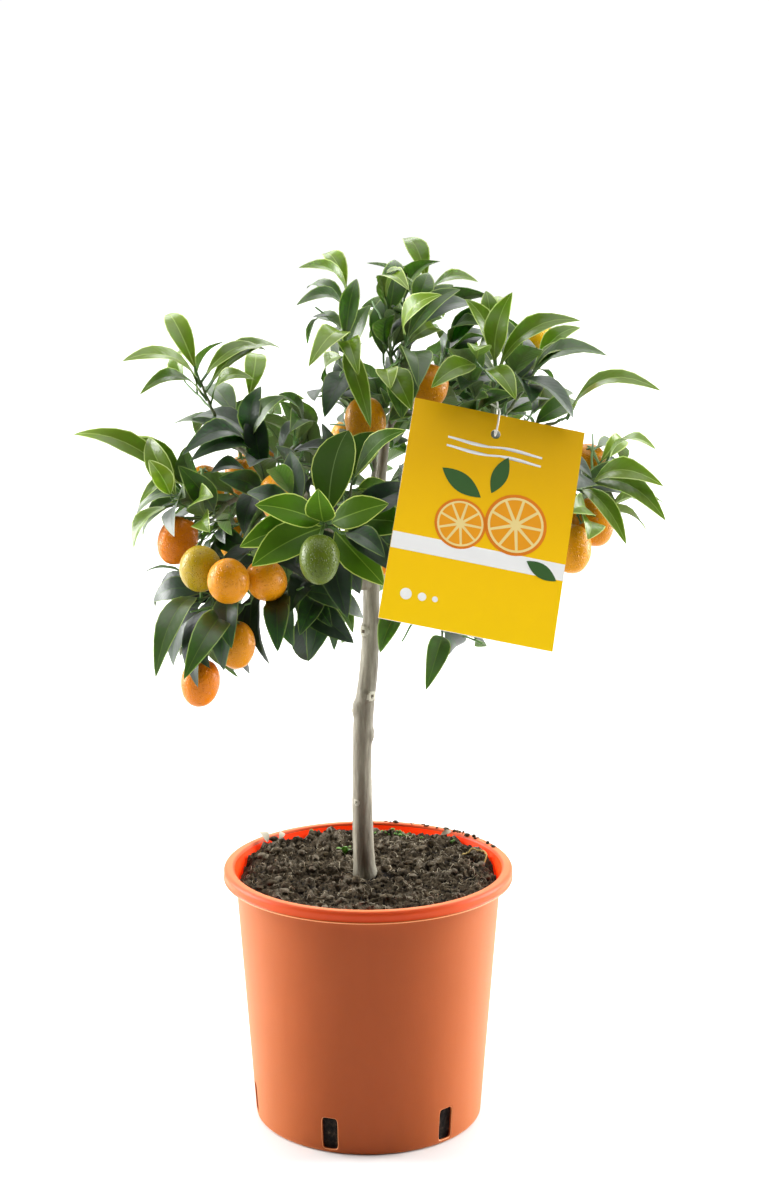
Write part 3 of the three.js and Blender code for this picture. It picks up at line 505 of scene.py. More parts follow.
def clear_of_card(places, given=False):
    """A leaf may lie behind the card, and only a given one may lie over its face."""
    local = (places - CARD_MIDDLE) @ CARD_TURN
    beside = abs(local[:, 0]) > CARD["width"] / 2 + CLEAR["card"]
    beside |= abs(local[:, 2]) > CARD["height"] / 2 + CLEAR["card"]
    behind = local[:, 1] > CLEAR["card"]
    before = local[:, 1] < -CLEAR["card"]
    return bool((beside | behind | (before & given)).all())


def clear_of_things(places, given):
    return (clear_of(LIMB_ENDS, places, LIMB_ROOM) and clear_of_fruits(places)
            and clear_of(TIE_ENDS, places, TIE["clear"]) and clear_of_card(places, given))


def in_own_cell(places, own):
    reach = distances(places, CELL_ENDS)
    mine = CELL_OWNERS == skeletons.index(own)
    return bool((reach[:, ~mine].min(1) > reach[:, mine].min(1) + CLEAR["cell"]).all())


# %% [markdown]
# ## One leaf's frame
# A leaf is a base, the way it runs, the way it faces, and a length. It arches over the straight
# line from base to tip, and its halves fold up like a shallow V. Thirteen points stand for it in
# every test: four rows of three, and the tip.

# %% Sample points of a leaf
SAMPLES = [(at, side * (0.9 - 0.8 * abs(at - 0.5)))
           for at in (0.2, 0.4, 0.6, 0.8) for side in (-1, 0, 1)] + [(1.0, 0.0)]
SAMPLE_AT, SAMPLE_ACROSS = np.array(SAMPLES).T


def leaf_frame(base, along, towards, length):
    face = unit(towards - along * towards.dot(along))
    return dict(base=base, along=along, face=face, side=np.cross(face, along), length=length)


def blade_lift(at, across, length):
    width = length * LEAF["slim"] / 2
    return 4 * LEAF["arch"] * length * at * (1 - at) + abs(across) * width * 2 * LEAF["fold"]


def leaf_samples(leaf):
    length, width = leaf["length"], leaf["length"] * LEAF["slim"] / 2
    return (leaf["base"] + np.outer(SAMPLE_AT * length, leaf["along"])
            + np.outer(SAMPLE_ACROSS * width, leaf["side"])
            + np.outer(blade_lift(SAMPLE_AT, SAMPLE_ACROSS, length), leaf["face"]))


print("a leaf is tested at", len(SAMPLES), "points")


# %% Leaves that cross
def crossing(places, base, along, face, side, length, room):
    """Whether the places lie on both sides of a blade, within its outline."""
    reach = places - base
    at = (reach * along).sum(-1) / length
    across = (reach * side).sum(-1) / (length * LEAF["slim"] / 2)
    over = (reach * face).sum(-1) - blade_lift(at, across, length)
    within = (at > 0.12) & (at < 1.03) & (abs(across) < 1.05)
    lowest = np.where(within, over, np.inf).min(-1)
    highest = np.where(within, over, -np.inf).max(-1)
    return (lowest < room) & (highest > -room)


def crosses_any(leaf, samples, others, room):
    if not others:
        return False
    stack = [np.array([other[key] for other in others])[:, None]
             for key in ("base", "along", "face", "side", "length")]
    hit = crossing(samples[None], *stack[:4], stack[4], room)
    theirs = np.array([other["samples"] for other in others])
    hit |= crossing(theirs, leaf["base"], leaf["along"], leaf["face"], leaf["side"],
                    leaf["length"], room)
    return bool(hit.any())


# %% [markdown]
# ## Growing the leaves
# First each shoot gets its given leaves, then drawn ones turn round it by the golden angle, as
# real leaves do, and open wider the further they are from its tip. A leaf that finds no room is
# swung round its twig, then made shorter, and at last left out.

# %% Does a leaf fit
def leaf_fits(leaf, own, given, room, reach):
    samples = leaf["samples"]
    if not given and norm(samples[-1] - own.fork) >= own.mass["reach"] * reach:
        return False
    rivals = [other for other in own.leaves if not (given and other["given"])]
    return (clear_of(TIE_ENDS, leaf["base"][None], TIE["base_clear"])
            and clear_of_things(samples, given)
            and clear_of(ends_of(own.wood), samples, CLEAR["twig"])
            and in_own_cell(samples, own) and not crosses_any(leaf, samples, rivals, room))


def grow_leaf(arc, share, choices, own, given=False, order=0, room=CLEAR["blade"], reach=1):
    base = arc.at(share)
    towards = arc.along(share) * LEAF["face_along"] + UP * LEAF["face_up"]
    towards = towards + FRONT * LEAF["face_front"] * given
    for along, length in choices:
        leaf = leaf_frame(base, along, towards, length)
        leaf["samples"] = leaf_samples(leaf)
        if leaf_fits(leaf, own, given, room, reach):
            own.leaves.append(dict(leaf, given=given, order=order, twig=arc))
            return


# %% Given leaves
def leaf_share(leaf, count, length):
    """Where a leaf sits along a twig; leaf 0 is at the tip."""
    return 1 - leaf * min(LEAF["pitch"], LEAF["crowd"] * length / count) / length


def given_leaves(arc, shoot, own):
    length = arc.length()
    for leaf, (bearing, rise, size) in enumerate(shoot["headings"]):
        choices = [(heading(bearing, rise), size * shrink) for shrink in SHRINKS]
        share = leaf_share(leaf, shoot["leaves"], length)
        grow_leaf(arc, share, choices, own, given=True, order=leaf)


# %% Drawn leaves
def around_twig(axis, turn, opened):
    across = vec(1, 0, 0) if abs(axis[2]) > 0.95 else UP
    across = unit(across - axis * across.dot(axis))
    out = across * cos(radians(turn))
    out = out + np.cross(axis, across) * sin(radians(turn))
    opened = radians(opened)
    return unit(axis * cos(opened) + out * sin(opened) + UP * TWIG["lift"])


def drawn_leaves(arc, first, count, own, draw, scale=1, room=CLEAR["blade"], reach=1, later=0):
    length = arc.length()
    first_turn = draw() * 360
    for leaf in range(first, count):
        share = leaf_share(leaf, count, length)
        young = mix(LEAF["young"], 1, min(leaf / LEAF["young_count"], 1))
        size = LEAF["length"] * (LEAF["least"] + LEAF["spread"] * draw()) * young * scale
        turn = first_turn + leaf * LEAF["turn"] + (draw() - 0.5) * LEAF["turn_spread"]
        opened = mix(LEAF["open_young"], LEAF["open_old"], leaf / (count - 1))
        axis = arc.along(share)
        choices = [(around_twig(axis, turn + swing, opened), size * shrink)
                   for shrink in SHRINKS for swing in SWINGS]
        grow_leaf(arc, share, choices, own, order=leaf + later, room=room, reach=reach)


# %% Side twigs
def twig_fits(start, places, own):
    return (clear_of(LIMB_ENDS, places, LIMB_ROOM) and in_own_cell(places, own)
            and clear_of_fruits(places) and clear_of_card(places)
            and clear_of(TIE_ENDS, start[None], TIE["base_clear"]))


def side_twig(arc, own, share, turn, length, spread):
    """The first of four side twigs round the shoot that has room, or None."""
    start = arc.at(share)
    for swing in (0, 90, 180, 270):
        along = around_twig(arc.along(share), turn + swing, spread)
        middle, tip = start + along * length / 2, start + along * length
        if twig_fits(start, np.array([middle, tip]), own):
            return Arc(start, middle, tip)
    return None


# %% Grow all masses
def grow_mass(own, draw):
    for arc in own.shoots:
        share = SIDE_TWIG["first"] + SIDE_TWIG["span"] * draw()
        twig = side_twig(arc, own, share, draw() * 360, SIDE_TWIG["length"], SIDE_TWIG["spread"])
        if twig:
            own.side_twigs.append(twig)
    own.wood += [(twig.start, twig.end) for twig in own.side_twigs]
    own.wood += [(fruit["hold"], fruit["middle"]) for fruit in own.fruits]
    for arc, shoot in zip(own.shoots, own.mass["shoots"]):
        given_leaves(arc, shoot, own)
    for arc, shoot in zip(own.shoots, own.mass["shoots"]):
        drawn_leaves(arc, len(shoot["headings"]), shoot["leaves"], own, draw)
    for twig in own.side_twigs:
        drawn_leaves(twig, 0, SIDE_TWIG["leaves"], own, draw)


for index, own in enumerate(skeletons):
    grow_mass(own, seeded(SEED + SEED_STEP * (index + 1)))
print("leaves that the solids have too:", sum(len(own.leaves) for own in skeletons))

# %% [markdown]
# ## Finer twigs
# The solids stop at one side twig on each shoot. A real crown goes on: short green twigs leave
# stems and shoots all along, each with a few leaves, and fill its inside with shade. The same
# rule grows them here, with smaller steps and a shorter reach, so the outline stays.

# %% Sizes of the finer twigs
FINE = dict(seed_step=104729, shortest=16, longest=32, spread=52, leaves=4, size=1.08, later=3,
            room=0.35, reach=0.9, on_stem=4, on_shoot=5, on_side_twig=1, stem_leaves=5)
# How full an open mass is, where the sky shows between its shoots; all others are full.
OPEN = dict(upper_left=0.3, left_middle=0.6, far_left=0.5, top_left=0.7, right_top=0.8,
            right_upper=0.4, right=0.45, low_right=0.5)
print("open masses:", *OPEN)

# %% [markdown]
# ## Sky gaps
# From the front the sky shows through the crown in small holes. Leaves could be deleted by hand.
# Here each hole is a cone from the viewer's eye, and a drawn leaf or twig in it is left out, so
# the holes keep their places when anything else in the crown is changed.

# %% Gaps where the sky shows
EYE = vec(11.6, -1517.6, 691.5)
# Across, up, and radius in the plane through the trunk.
SKY_GAPS = [
    (-63, 520, 16), (-44, 527, 13), (-33, 534, 9), (-139, 497, 13), (-116, 503, 8), (-158, 373, 13),
    (-160, 431, 9), (-61, 330, 9), (-28, 320, 9), (30, 328, 9), (148, 497, 9), (170, 489, 10),
    (181, 495, 12), (157, 394, 8),
]
# What hides the large upright leaf behind the rosette is left out in the same way.
BEFORE_LARGE_LEAF = [(-15, 465, 14), (-18, 446, 10)]


def in_gap(places, gaps=SKY_GAPS):
    share = EYE[1] / (EYE[1] - places[:, 1])
    seen = EYE + (places - EYE) * share[:, None]
    return any((np.hypot(seen[:, 0] - x, seen[:, 2] - z) < radius).any() for x, z, radius in gaps)


print("sky gaps:", len(SKY_GAPS))


# %% Finer twigs and their leaves
def fullness(own):
    return OPEN.get(own.mass["name"], 1)


def finer_reach(own):
    """A share of the mass's reach; less in an open mass."""
    return FINE["reach"] * mix(0.75, 1, fullness(own))


def fine_twigs(arc, count, own, draw):
    count = max(1, round(count * fullness(own)))
    for number in range(count):
        share = 0.18 + 0.8 * (number + draw()) / count
        length = mix(FINE["shortest"], FINE["longest"], draw())
        twig = side_twig(arc, own, share, draw() * 360, length, FINE["spread"])
        reach = own.mass["reach"] * finer_reach(own)
        if twig and norm(twig.end - own.fork) < reach and not in_gap(twig.points(2)):
            own.fine_twigs.append(twig)


def grow_finer(own, draw):
    reach = finer_reach(own)
    fine_twigs(own.stem, FINE["on_stem"], own, draw)
    for arc in own.shoots:
        fine_twigs(arc, FINE["on_shoot"], own, draw)
    for arc in own.side_twigs:
        fine_twigs(arc, FINE["on_side_twig"], own, draw)
    own.wood += [(twig.start, twig.end) for twig in own.fine_twigs]
    for twig in own.fine_twigs:
        drawn_leaves(twig, 0, FINE["leaves"], own, draw, FINE["size"], FINE["room"], reach,
                     FINE["later"])
    drawn_leaves(own.stem, 0, FINE["stem_leaves"], own, draw, 1, FINE["room"], reach, FINE["later"])


# %% [markdown]
# ## Single leaves
# A few leaves matter more than others: they hang before a fruit or close a hole between two
# masses. They are set one by one before the finer twigs grow, each with its own bearing and rise,
# and may lie closer to their neighbours than the rule of space allows.

# %% Set the single leaves
def fits_between(leaf, own):
    """Whether a single leaf has room in all masses."""
    wood = [part for near in skeletons for part in near.wood]
    others = [other for near in skeletons for other in near.leaves
              if near is not own or not other["given"]]
    return (clear_of_things(leaf["samples"], True)
            and clear_of(ends_of(wood), leaf["samples"], CLEAR["twig"])
            and not crosses_any(leaf, leaf["samples"], others, FINE["room"]))


# Mass, shoot, place along it, bearing, rise and length.
SINGLE_LEAVES = [
    ("top_left", 1, 1, -60, -55, 58), ("front", 1, 1, 60, 45, 42), ("front", 1, 0.95, -40, 45, 56),
    ("top_left", 1, 0.95, 20, 80, 44), ("top_middle", 0, 0.4, 120, 5, 52),
    ("top_middle", 1, 0.9, 10, 45, 52), ("top_right", 0, 0.9, -20, 45, 46),
    ("right_top", 0, 1, 140, 80, 44), ("right_top", 0, 0.95, -151, 63, 47),
    ("upper_left", 0, 0.95, 20, 25, 50), ("far_left", 0, 0.95, 180, 45, 52),
    ("left_middle", 2, 0.5, 140, 80, 52),
]
# When the place is taken, the leaf swings aside or grows shorter.
SINGLE_CHOICES = [(swing, shrink) for shrink in (1, 0.85) for swing in (0, 12, -12)]
for name, number, share, bearing, rise, length in SINGLE_LEAVES:
    own = MASS_NAMED[name]
    arc = own.shoots[number]
    towards = arc.along(share) * LEAF["face_along"] + UP * LEAF["face_up"] + FRONT
    for swing, shrink in SINGLE_CHOICES:
        leaf = leaf_frame(arc.at(share), heading(bearing + swing, rise), towards, length * shrink)
        leaf["samples"] = leaf_samples(leaf)
        if fits_between(leaf, own):
            own.leaves.append(dict(leaf, given=True, order=3, twig=arc))
            break
    else:
        print("no room for the single leaf on", name, number, share, bearing)
print("single leaves:", len(SINGLE_LEAVES))

# %% Grow the finer twigs
for index, own in enumerate(skeletons):
    grow_finer(own, seeded(SEED + SEED_STEP * (index + 1) + FINE["seed_step"]))
    gaps = SKY_GAPS + BEFORE_LARGE_LEAF * (own is MASS_NAMED["front"])
    own.leaves = [leaf for leaf in own.leaves if leaf["given"] or not in_gap(leaf["samples"], gaps)]
    leafy = {id(leaf["twig"]) for leaf in own.leaves}
    own.fine_twigs = [twig for twig in own.fine_twigs if id(twig) in leafy]
print("fine twigs:", sum(len(own.fine_twigs) for own in skeletons),
      "leaves in all:", sum(len(own.leaves) for own in skeletons))

# %% [markdown]
# ## From numbers to pieces
# Every piece is a list of points in millimetres and a list of faces, and one helper makes an
# object of them. Modifiers could shape the pieces too, but points from NumPy keep hundreds of
# leaves as quick as one, and an export gets them as they are.

# %% Points and faces to a piece
def in_scene(name, data):
    thing = bpy.data.objects.new(name, data)
    bpy.context.scene.collection.objects.link(thing)
    return thing


def make_piece(name, points, faces, finishes, picks=None, slot=None, stands_for=(), uv=None,
               crease=52):
    """An object from points in mm, smooth but where faces meet at more than crease degrees."""
    mesh = bpy.data.meshes.new(name)
    mesh.from_pydata((np.asarray(points) * MM).tolist(), [], [list(face) for face in faces])
    mesh.update()
    for finish in finishes:
        mesh.materials.append(finish)
    if picks is not None:
        mesh.polygons.foreach_set("material_index", np.asarray(picks, dtype=np.int32))
    mesh.polygons.foreach_set("use_smooth", np.ones(len(mesh.polygons), dtype=bool))
    mesh.set_sharp_from_angle(angle=radians(crease))
    if uv is not None:
        corners = np.empty(len(mesh.loops), dtype=np.int32)
        mesh.loops.foreach_get("vertex_index", corners)
        mesh.uv_layers.new(name="UVMap").data.foreach_set("uv", np.asarray(uv)[corners].ravel())
    piece = in_scene(name, mesh)
    if slot:
        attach(piece, "root")
    if stands_for:
        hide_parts(*stands_for)
    print(name, len(mesh.vertices), "points", len(mesh.polygons), "faces")
    return piece


# %% Several meshes in one piece
def shifted(faces, by):
    return [tuple(corner + by for corner in face) for face in faces]


def flipped(faces):
    return [tuple(reversed(face)) for face in faces]


class Parts:
    def __init__(self):
        self.points, self.faces, self.picks, self.uv, self.count = [], [], [], [], 0

    def add(self, points, faces, pick, uv=None):
        points = np.asarray(points, dtype=float)
        self.points.append(points)
        self.faces += shifted(faces, self.count)
        self.picks += pick if isinstance(pick, list) else [pick] * len(faces)
        self.uv.append(np.zeros((len(points), 2)) if uv is None else uv)
        self.count += len(points)

    def piece(self, name, finishes, **more):
        return make_piece(name, np.concatenate(self.points), self.faces, finishes, self.picks,
                          uv=np.concatenate(self.uv), **more)


# %% [markdown]
# ## Tubes
# Trunk, twigs, stalks, roots and the tie are round and follow a line. A curve with a bevel would
# do for most, but bark needs each point by itself, so one function wraps a grid round a line.

# %% A grid's faces, and ways across a line
def grid_faces(rows, columns, closed=True):
    """Faces of a grid of rows of points; closed joins each row's last point to its first."""
    wrap = columns if closed else columns - 1
    return [(row * columns + column, row * columns + (column + 1) % columns,
             (row + 1) * columns + (column + 1) % columns, (row + 1) * columns + column)
            for row in range(rows - 1) for column in range(wrap)]


def fan(first, sides, middle):
    """Faces from a ring of points to its middle point."""
    return [(first + (side + 1) % sides, first + side, middle) for side in range(sides)]


def frames_along(line):
    """For each point of a line, the way it runs and two ways across, without a twist."""
    runs = np.gradient(np.asarray(line, dtype=float), axis=0)
    runs /= norm(runs, axis=1)[:, None]
    across = np.empty_like(runs)
    start = UP if abs(runs[0][2]) < 0.9 else vec(1, 0, 0)
    for row, run in enumerate(runs):
        start = unit(start - run * start.dot(run))
        across[row] = start
    return runs, across, np.cross(runs, across)


print("three rings of four points:", len(grid_faces(3, 4)), "faces")


# %% A tube along a line
def tube(line, radii, sides, closed=False):
    """Points and faces of a round tube; closed joins its ends, and a fan ends each otherwise."""
    line = np.asarray(line, dtype=float)
    rows = len(line)
    _, across, beside = frames_along(line)
    turns = np.arange(sides) * WHOLE_TURN / sides
    radii = np.broadcast_to(np.asarray(radii, dtype=float), rows)[:, None, None]
    turns = turns[None, :, None]
    ring = across[:, None] * np.cos(turns) + beside[:, None] * np.sin(turns)
    points = (line[:, None] + ring * radii).reshape(-1, 3)
    if closed:
        faces = grid_faces(rows + 1, sides)
        return points, [tuple(corner % len(points) for corner in face) for face in faces]
    faces = grid_faces(rows, sides) + fan(0, sides, rows * sides)
    faces += flipped(fan((rows - 1) * sides, sides, rows * sides + 1))
    return np.concatenate([points, line[:1], line[-1:]]), faces


print("a short tube:", len(tube([UP, 2 * UP], 1, 8)[1]), "faces")


# %% [markdown]
# ## Finishes
# A finish is one Principled shader. Numbers that hold all over a surface are set on its sockets,
# and only what changes from place to place, such as grain, comes from nodes. Grain is measured in
# metres in the object's own space, so it keeps its real size on every piece.

# %% A plain finish
def hue(red, green, blue):
    return (red, green, blue, 1)


def shader_of(finish):
    return finish.node_tree.nodes["Principled BSDF"]


def set_sockets(finish, **values):
    """Sets the shader's sockets; underscores in a name stand for spaces."""
    for name, value in values.items():
        shader_of(finish).inputs[name.replace("_", " ")].default_value = value


def new_finish(name, colour, roughness, gloss=0.5):
    finish = bpy.data.materials.new(name)
    finish.use_nodes = True
    set_sockets(finish, Base_Color=hue(*colour), Roughness=roughness, Specular_IOR_Level=gloss)
    return finish


def let_light_in(finish, weight, radius, scale=1.0):
    """Light spreads below the surface, each colour as far as its radius."""
    set_sockets(finish, Subsurface_Weight=weight, Subsurface_Radius=radius, Subsurface_Scale=scale)


# %% Nodes for what changes from place to place
def node(finish, kind, links=(), **values):
    """Adds one node; links are pairs of an input's name and the socket that feeds it."""
    made = finish.node_tree.nodes.new(kind)
    for name, value in values.items():
        if name.replace("_", " ") in made.inputs:
            made.inputs[name.replace("_", " ")].default_value = value
        else:
            setattr(made, name, value)
    for name, source in links:
        finish.node_tree.links.new(source, made.inputs[name])
    return made


def place_of(finish, stretch=(1, 1, 1)):
    """The object's own coordinates, stretched so that grain can run one way."""
    own = node(finish, "ShaderNodeTexCoord")
    turned = node(finish, "ShaderNodeMapping", [("Vector", own.outputs["Object"])], Scale=stretch)
    return turned.outputs["Vector"]


def grain(finish, scale, detail=4, rough=0.6, stretch=(1, 1, 1)):
    made = node(finish, "ShaderNodeTexNoise", [("Vector", place_of(finish, stretch))],
                Scale=scale, Detail=detail, Roughness=rough)
    return made.outputs["Fac"]


# %% Colour ramps and bumps
def ramp(finish, source, stops):
    made = node(finish, "ShaderNodeValToRGB", [("Fac", source)])
    for end, (position, colour) in zip(made.color_ramp.elements, (stops[0], stops[-1])):
        end.position, end.color = position, colour
    for position, colour in stops[1:-1]:
        made.color_ramp.elements.new(position).color = colour
    return made.outputs["Color"]


def colour_by(finish, source, stops):
    colour = ramp(finish, source, [(place, hue(*tint)) for place, tint in stops])
    finish.node_tree.links.new(colour, shader_of(finish).inputs["Base Color"])


def bumped(finish, *heights):
    """Stacks bumps; each height is a socket, its depth in metres and its strength."""
    normal = None
    for height, depth, strength in heights:
        links = [("Height", height)] + ([("Normal", normal)] if normal else [])
        bump = node(finish, "ShaderNodeBump", links, Distance=depth, Strength=strength)
        normal = bump.outputs["Normal"]
    finish.node_tree.links.new(normal, shader_of(finish).inputs["Normal"])


def grained(name, colour, roughness, gloss, tint_grain, tints, *bumps):
    """A finish with tints by one grain, and with a bump for each grain, depth and strength."""
    finish = new_finish(name, colour, roughness, gloss)
    if tints:
        colour_by(finish, grain(finish, *tint_grain), tints)
    if bumps:
        bumped(finish, *[(grain(finish, *fine), deep, strong) for fine, deep, strong in bumps])
    return finish

# %% [markdown]
# ## Leaf finishes
# A citrus leaf is waxy: deep green and glossy above, paler and dull below, with a pale midrib and
# edge; the edge's paleness is partly its own and partly a painted highlight where it catches light.
# Old leaves are dark and cool, the youngest yellow-green, and the darkest tones also carry painted
# shade for leaves deep inside the crown. An image could hold all that, but these colours have
# places, so each part of a leaf gets a plain finish of its own. Only the fine veins are nodes: a
# bump drawn in the leaf's own UV.

# %% Seven tones of leaf
# For each tone the colours of its blade, midrib and edge. The darker tones are partly painted
# shade, and the pale edges partly painted highlight.
TONES = {
    "deep": ((0.006, 0.015, 0.006), (0.025, 0.05, 0.015), (0.04, 0.065, 0.022)),
    "old": ((0.016, 0.034, 0.013), (0.04, 0.075, 0.022), (0.09, 0.13, 0.038)),
    "grown": ((0.038, 0.073, 0.012), (0.085, 0.14, 0.028), (0.19, 0.26, 0.07)),
    "fresh": ((0.092, 0.148, 0.01), (0.175, 0.265, 0.04), (0.33, 0.42, 0.11)),
    "light": ((0.142, 0.212, 0.018), (0.3, 0.41, 0.085), (0.45, 0.55, 0.17)),
    "young": ((0.066, 0.138, 0.007), (0.18, 0.3, 0.025), (0.48, 0.6, 0.11)),
    "rich": ((0.034, 0.078, 0.004), (0.09, 0.165, 0.018), (0.43, 0.52, 0.11)),
}
# Roughness and gloss of the blades that differ from the others.
BLADE_SHINE = {"old": (0.42, 0.44), "deep": (0.42, 0.4), "grown": (0.4, 0.4),
               "young": (0.42, 0.11), "rich": (0.42, 0.07)}
PALE_UNDERSIDE = (0.17, 0.25, 0.07)


def pale_under(blade):
    return tuple(mix(part, pale, 0.45) for part, pale in zip(blade, PALE_UNDERSIDE))


print("the palest underside:", pale_under(TONES["light"][0]))

# %% Side veins
VEINS = 12  # on each half of a leaf
VEIN_SLANT = -0.42


def reckoned(finish, operation, first, second=None):
    """One step of reckoning; each side is a socket or a number."""
    made = node(finish, "ShaderNodeMath", operation=operation)
    for number, side in enumerate((first, second)):
        if isinstance(side, (int, float)):
            made.inputs[number].default_value = side
        elif side is not None:
            finish.node_tree.links.new(side, made.inputs[number])
    return made.outputs[0]


def vein_height(finish):
    """Side veins that leave the midrib at a slant, from the leaf's own UV."""
    own = node(finish, "ShaderNodeTexCoord")
    split = node(finish, "ShaderNodeSeparateXYZ", [("Vector", own.outputs["UV"])])
    out = reckoned(finish, "ABSOLUTE", reckoned(finish, "SUBTRACT", split.outputs["X"], 0.5))
    slant = reckoned(finish, "MULTIPLY", out, VEIN_SLANT)
    along = reckoned(finish, "ADD", slant, split.outputs["Y"])
    return reckoned(finish, "SINE", reckoned(finish, "MULTIPLY", along, VEINS * WHOLE_TURN))


# %% Four parts of a leaf in each tone
def leaf_finishes(tone):
    """The finishes of blade, midrib, edge and underside, in this order."""
    blade, rib, edge = TONES[tone]
    roughness, gloss = BLADE_SHINE.get(tone, (0.28, 0.28))
    # The edge finish is partly the margin's own paler green and partly a painted highlight, where
    # the thin edge catches light.
    made = [new_finish(f"leaf_{tone}", blade, roughness, gloss),
            new_finish(f"leaf_{tone}_rib", rib, 0.45, gloss=0.25),
            new_finish(f"leaf_{tone}_edge", edge, 0.45, gloss=0.25),
            new_finish(f"leaf_{tone}_under", pale_under(blade), 0.55, gloss=0.2)]
    bumped(made[0], (vein_height(made[0]), 0.00012, 0.12), (grain(made[0], 150, 2), 0.0012, 0.2))
    bumped(made[3], (vein_height(made[3]), 0.0002, 0.25))
    for finish in made:
        let_light_in(finish, 0.15, (0.6, 1.0, 0.25), 0.0015)
    return made


LEAF_FINISHES = [finish for tone in TONES for finish in leaf_finishes(tone)]
STALK_FINISH = new_finish("leaf_stalk", (0.075, 0.15, 0.04), 0.5, gloss=0.4)
print("leaf finishes:", len(LEAF_FINISHES) + 1)

# %% [markdown]
# ## The leaf's shape
# The leaf is a pointed oval on a short stalk. One grid describes all leaves: its columns stand at
# the edges, the midrib and half-way between, and NumPy bends it differently for each leaf. A flat
# card with a leaf's picture would be lighter, but it has no thickness and no real fold.

# %% Rows and columns of a leaf
ROW_AT = np.array([0, 0.05, 0.11, 0.165, 0.24, 0.34, 0.45, 0.57, 0.69, 0.8, 0.89, 0.955])
ROWS, COLUMNS = len(ROW_AT), 8
STALK_ROWS, STALK_END, STALK_HALF = 2, 0.11, 0.95
RIB_HALF, EDGE_WIDTH = 0.5, 0.7


def leaf_columns(half):
    rib = np.minimum(RIB_HALF * (1 - 0.6 * ROW_AT), 0.2 * half)
    edge = half - np.minimum(EDGE_WIDTH, 0.24 * half)
    right = np.stack([rib, 0.5 * half + 0.2 * rib, edge, half], axis=1)
    return np.concatenate([-right[:, ::-1], right], axis=1)


print("columns across 20 mm:", leaf_columns(np.full(ROWS, 10.0))[5].round(1))

# %% Faces of a leaf
BLADE, RIB, EDGE, UNDERSIDE, STALK = range(5)
STRIP_PARTS = [EDGE, BLADE, BLADE, RIB, BLADE, BLADE, EDGE]
UNDER_FIRST, INNER = ROWS * COLUMNS, COLUMNS - 2


def top(row, column):
    return row * COLUMNS + column


def under(row, column):
    """The underside shares its two edges with the top."""
    if column in (0, COLUMNS - 1):
        return top(row, column)
    return UNDER_FIRST + row * INNER + column - 1


def leaf_faces():
    tip, last = UNDER_FIRST + ROWS * INNER, ROWS - 1
    faces, parts = [], []
    for column, part in enumerate(STRIP_PARTS):
        after = column + 1
        for row in range(last):
            stalk = row < STALK_ROWS
            faces.append((top(row, column), top(row, after),
                          top(row + 1, after), top(row + 1, column)))
            parts.append(STALK if stalk else part)
            faces.append((under(row, column), under(row + 1, column),
                          under(row + 1, after), under(row, after)))
            parts.append(STALK if stalk else RIB if part == RIB else UNDERSIDE)
        faces += [(top(last, column), top(last, after), tip),
                  (under(last, after), under(last, column), tip)]
        parts += [part, UNDERSIDE]
        if 0 < column < COLUMNS - 2:
            faces.append((top(0, after), top(0, column), under(0, column), under(0, after)))
            parts.append(STALK)
    faces += [(top(0, 1), top(0, 0), under(0, 1)), (top(0, 7), top(0, 6), under(0, 6))]
    return faces, parts + [STALK, STALK]


LEAF_FACES, LEAF_FACE_PARTS = leaf_faces()
print("faces of one leaf:", len(LEAF_FACES))

# %% [markdown]
# ## No two leaves alike
# A leaf folds up along its midrib, arches, waves at its edges and turns down at the tip, and each
# draws how much. Shape keys could blend one leaf into another, but only between a few forms. The
# broad ones are the rosette's, the given ones on outer shoots are slim, the drawn ones between.

# %% How leaves vary
VARIETY = {
    "broad": dict(full=(0.88, 1.0), fold=(0.22, 0.4), arch=(0.06, 0.12)),
    "given": dict(full=(0.66, 0.82), fold=(0.28, 0.55), arch=(0.11, 0.19)),
    "drawn": dict(full=(0.72, 0.92), fold=(0.28, 0.55), arch=(0.11, 0.19)),
}


def blade_turn(leaf):
    """The leaf's side and face. A drawn leaf also turns a little out of the crown, to the light."""
    along, towards = leaf["along"], leaf["face"]
    if not leaf["given"]:
        towards = towards + unit(leaf["base"] * (1, 1, 0)) * 0.6
    face = unit(towards - along * towards.dot(along))
    return np.cross(face, along), face


print("kinds of leaf:", *VARIETY)


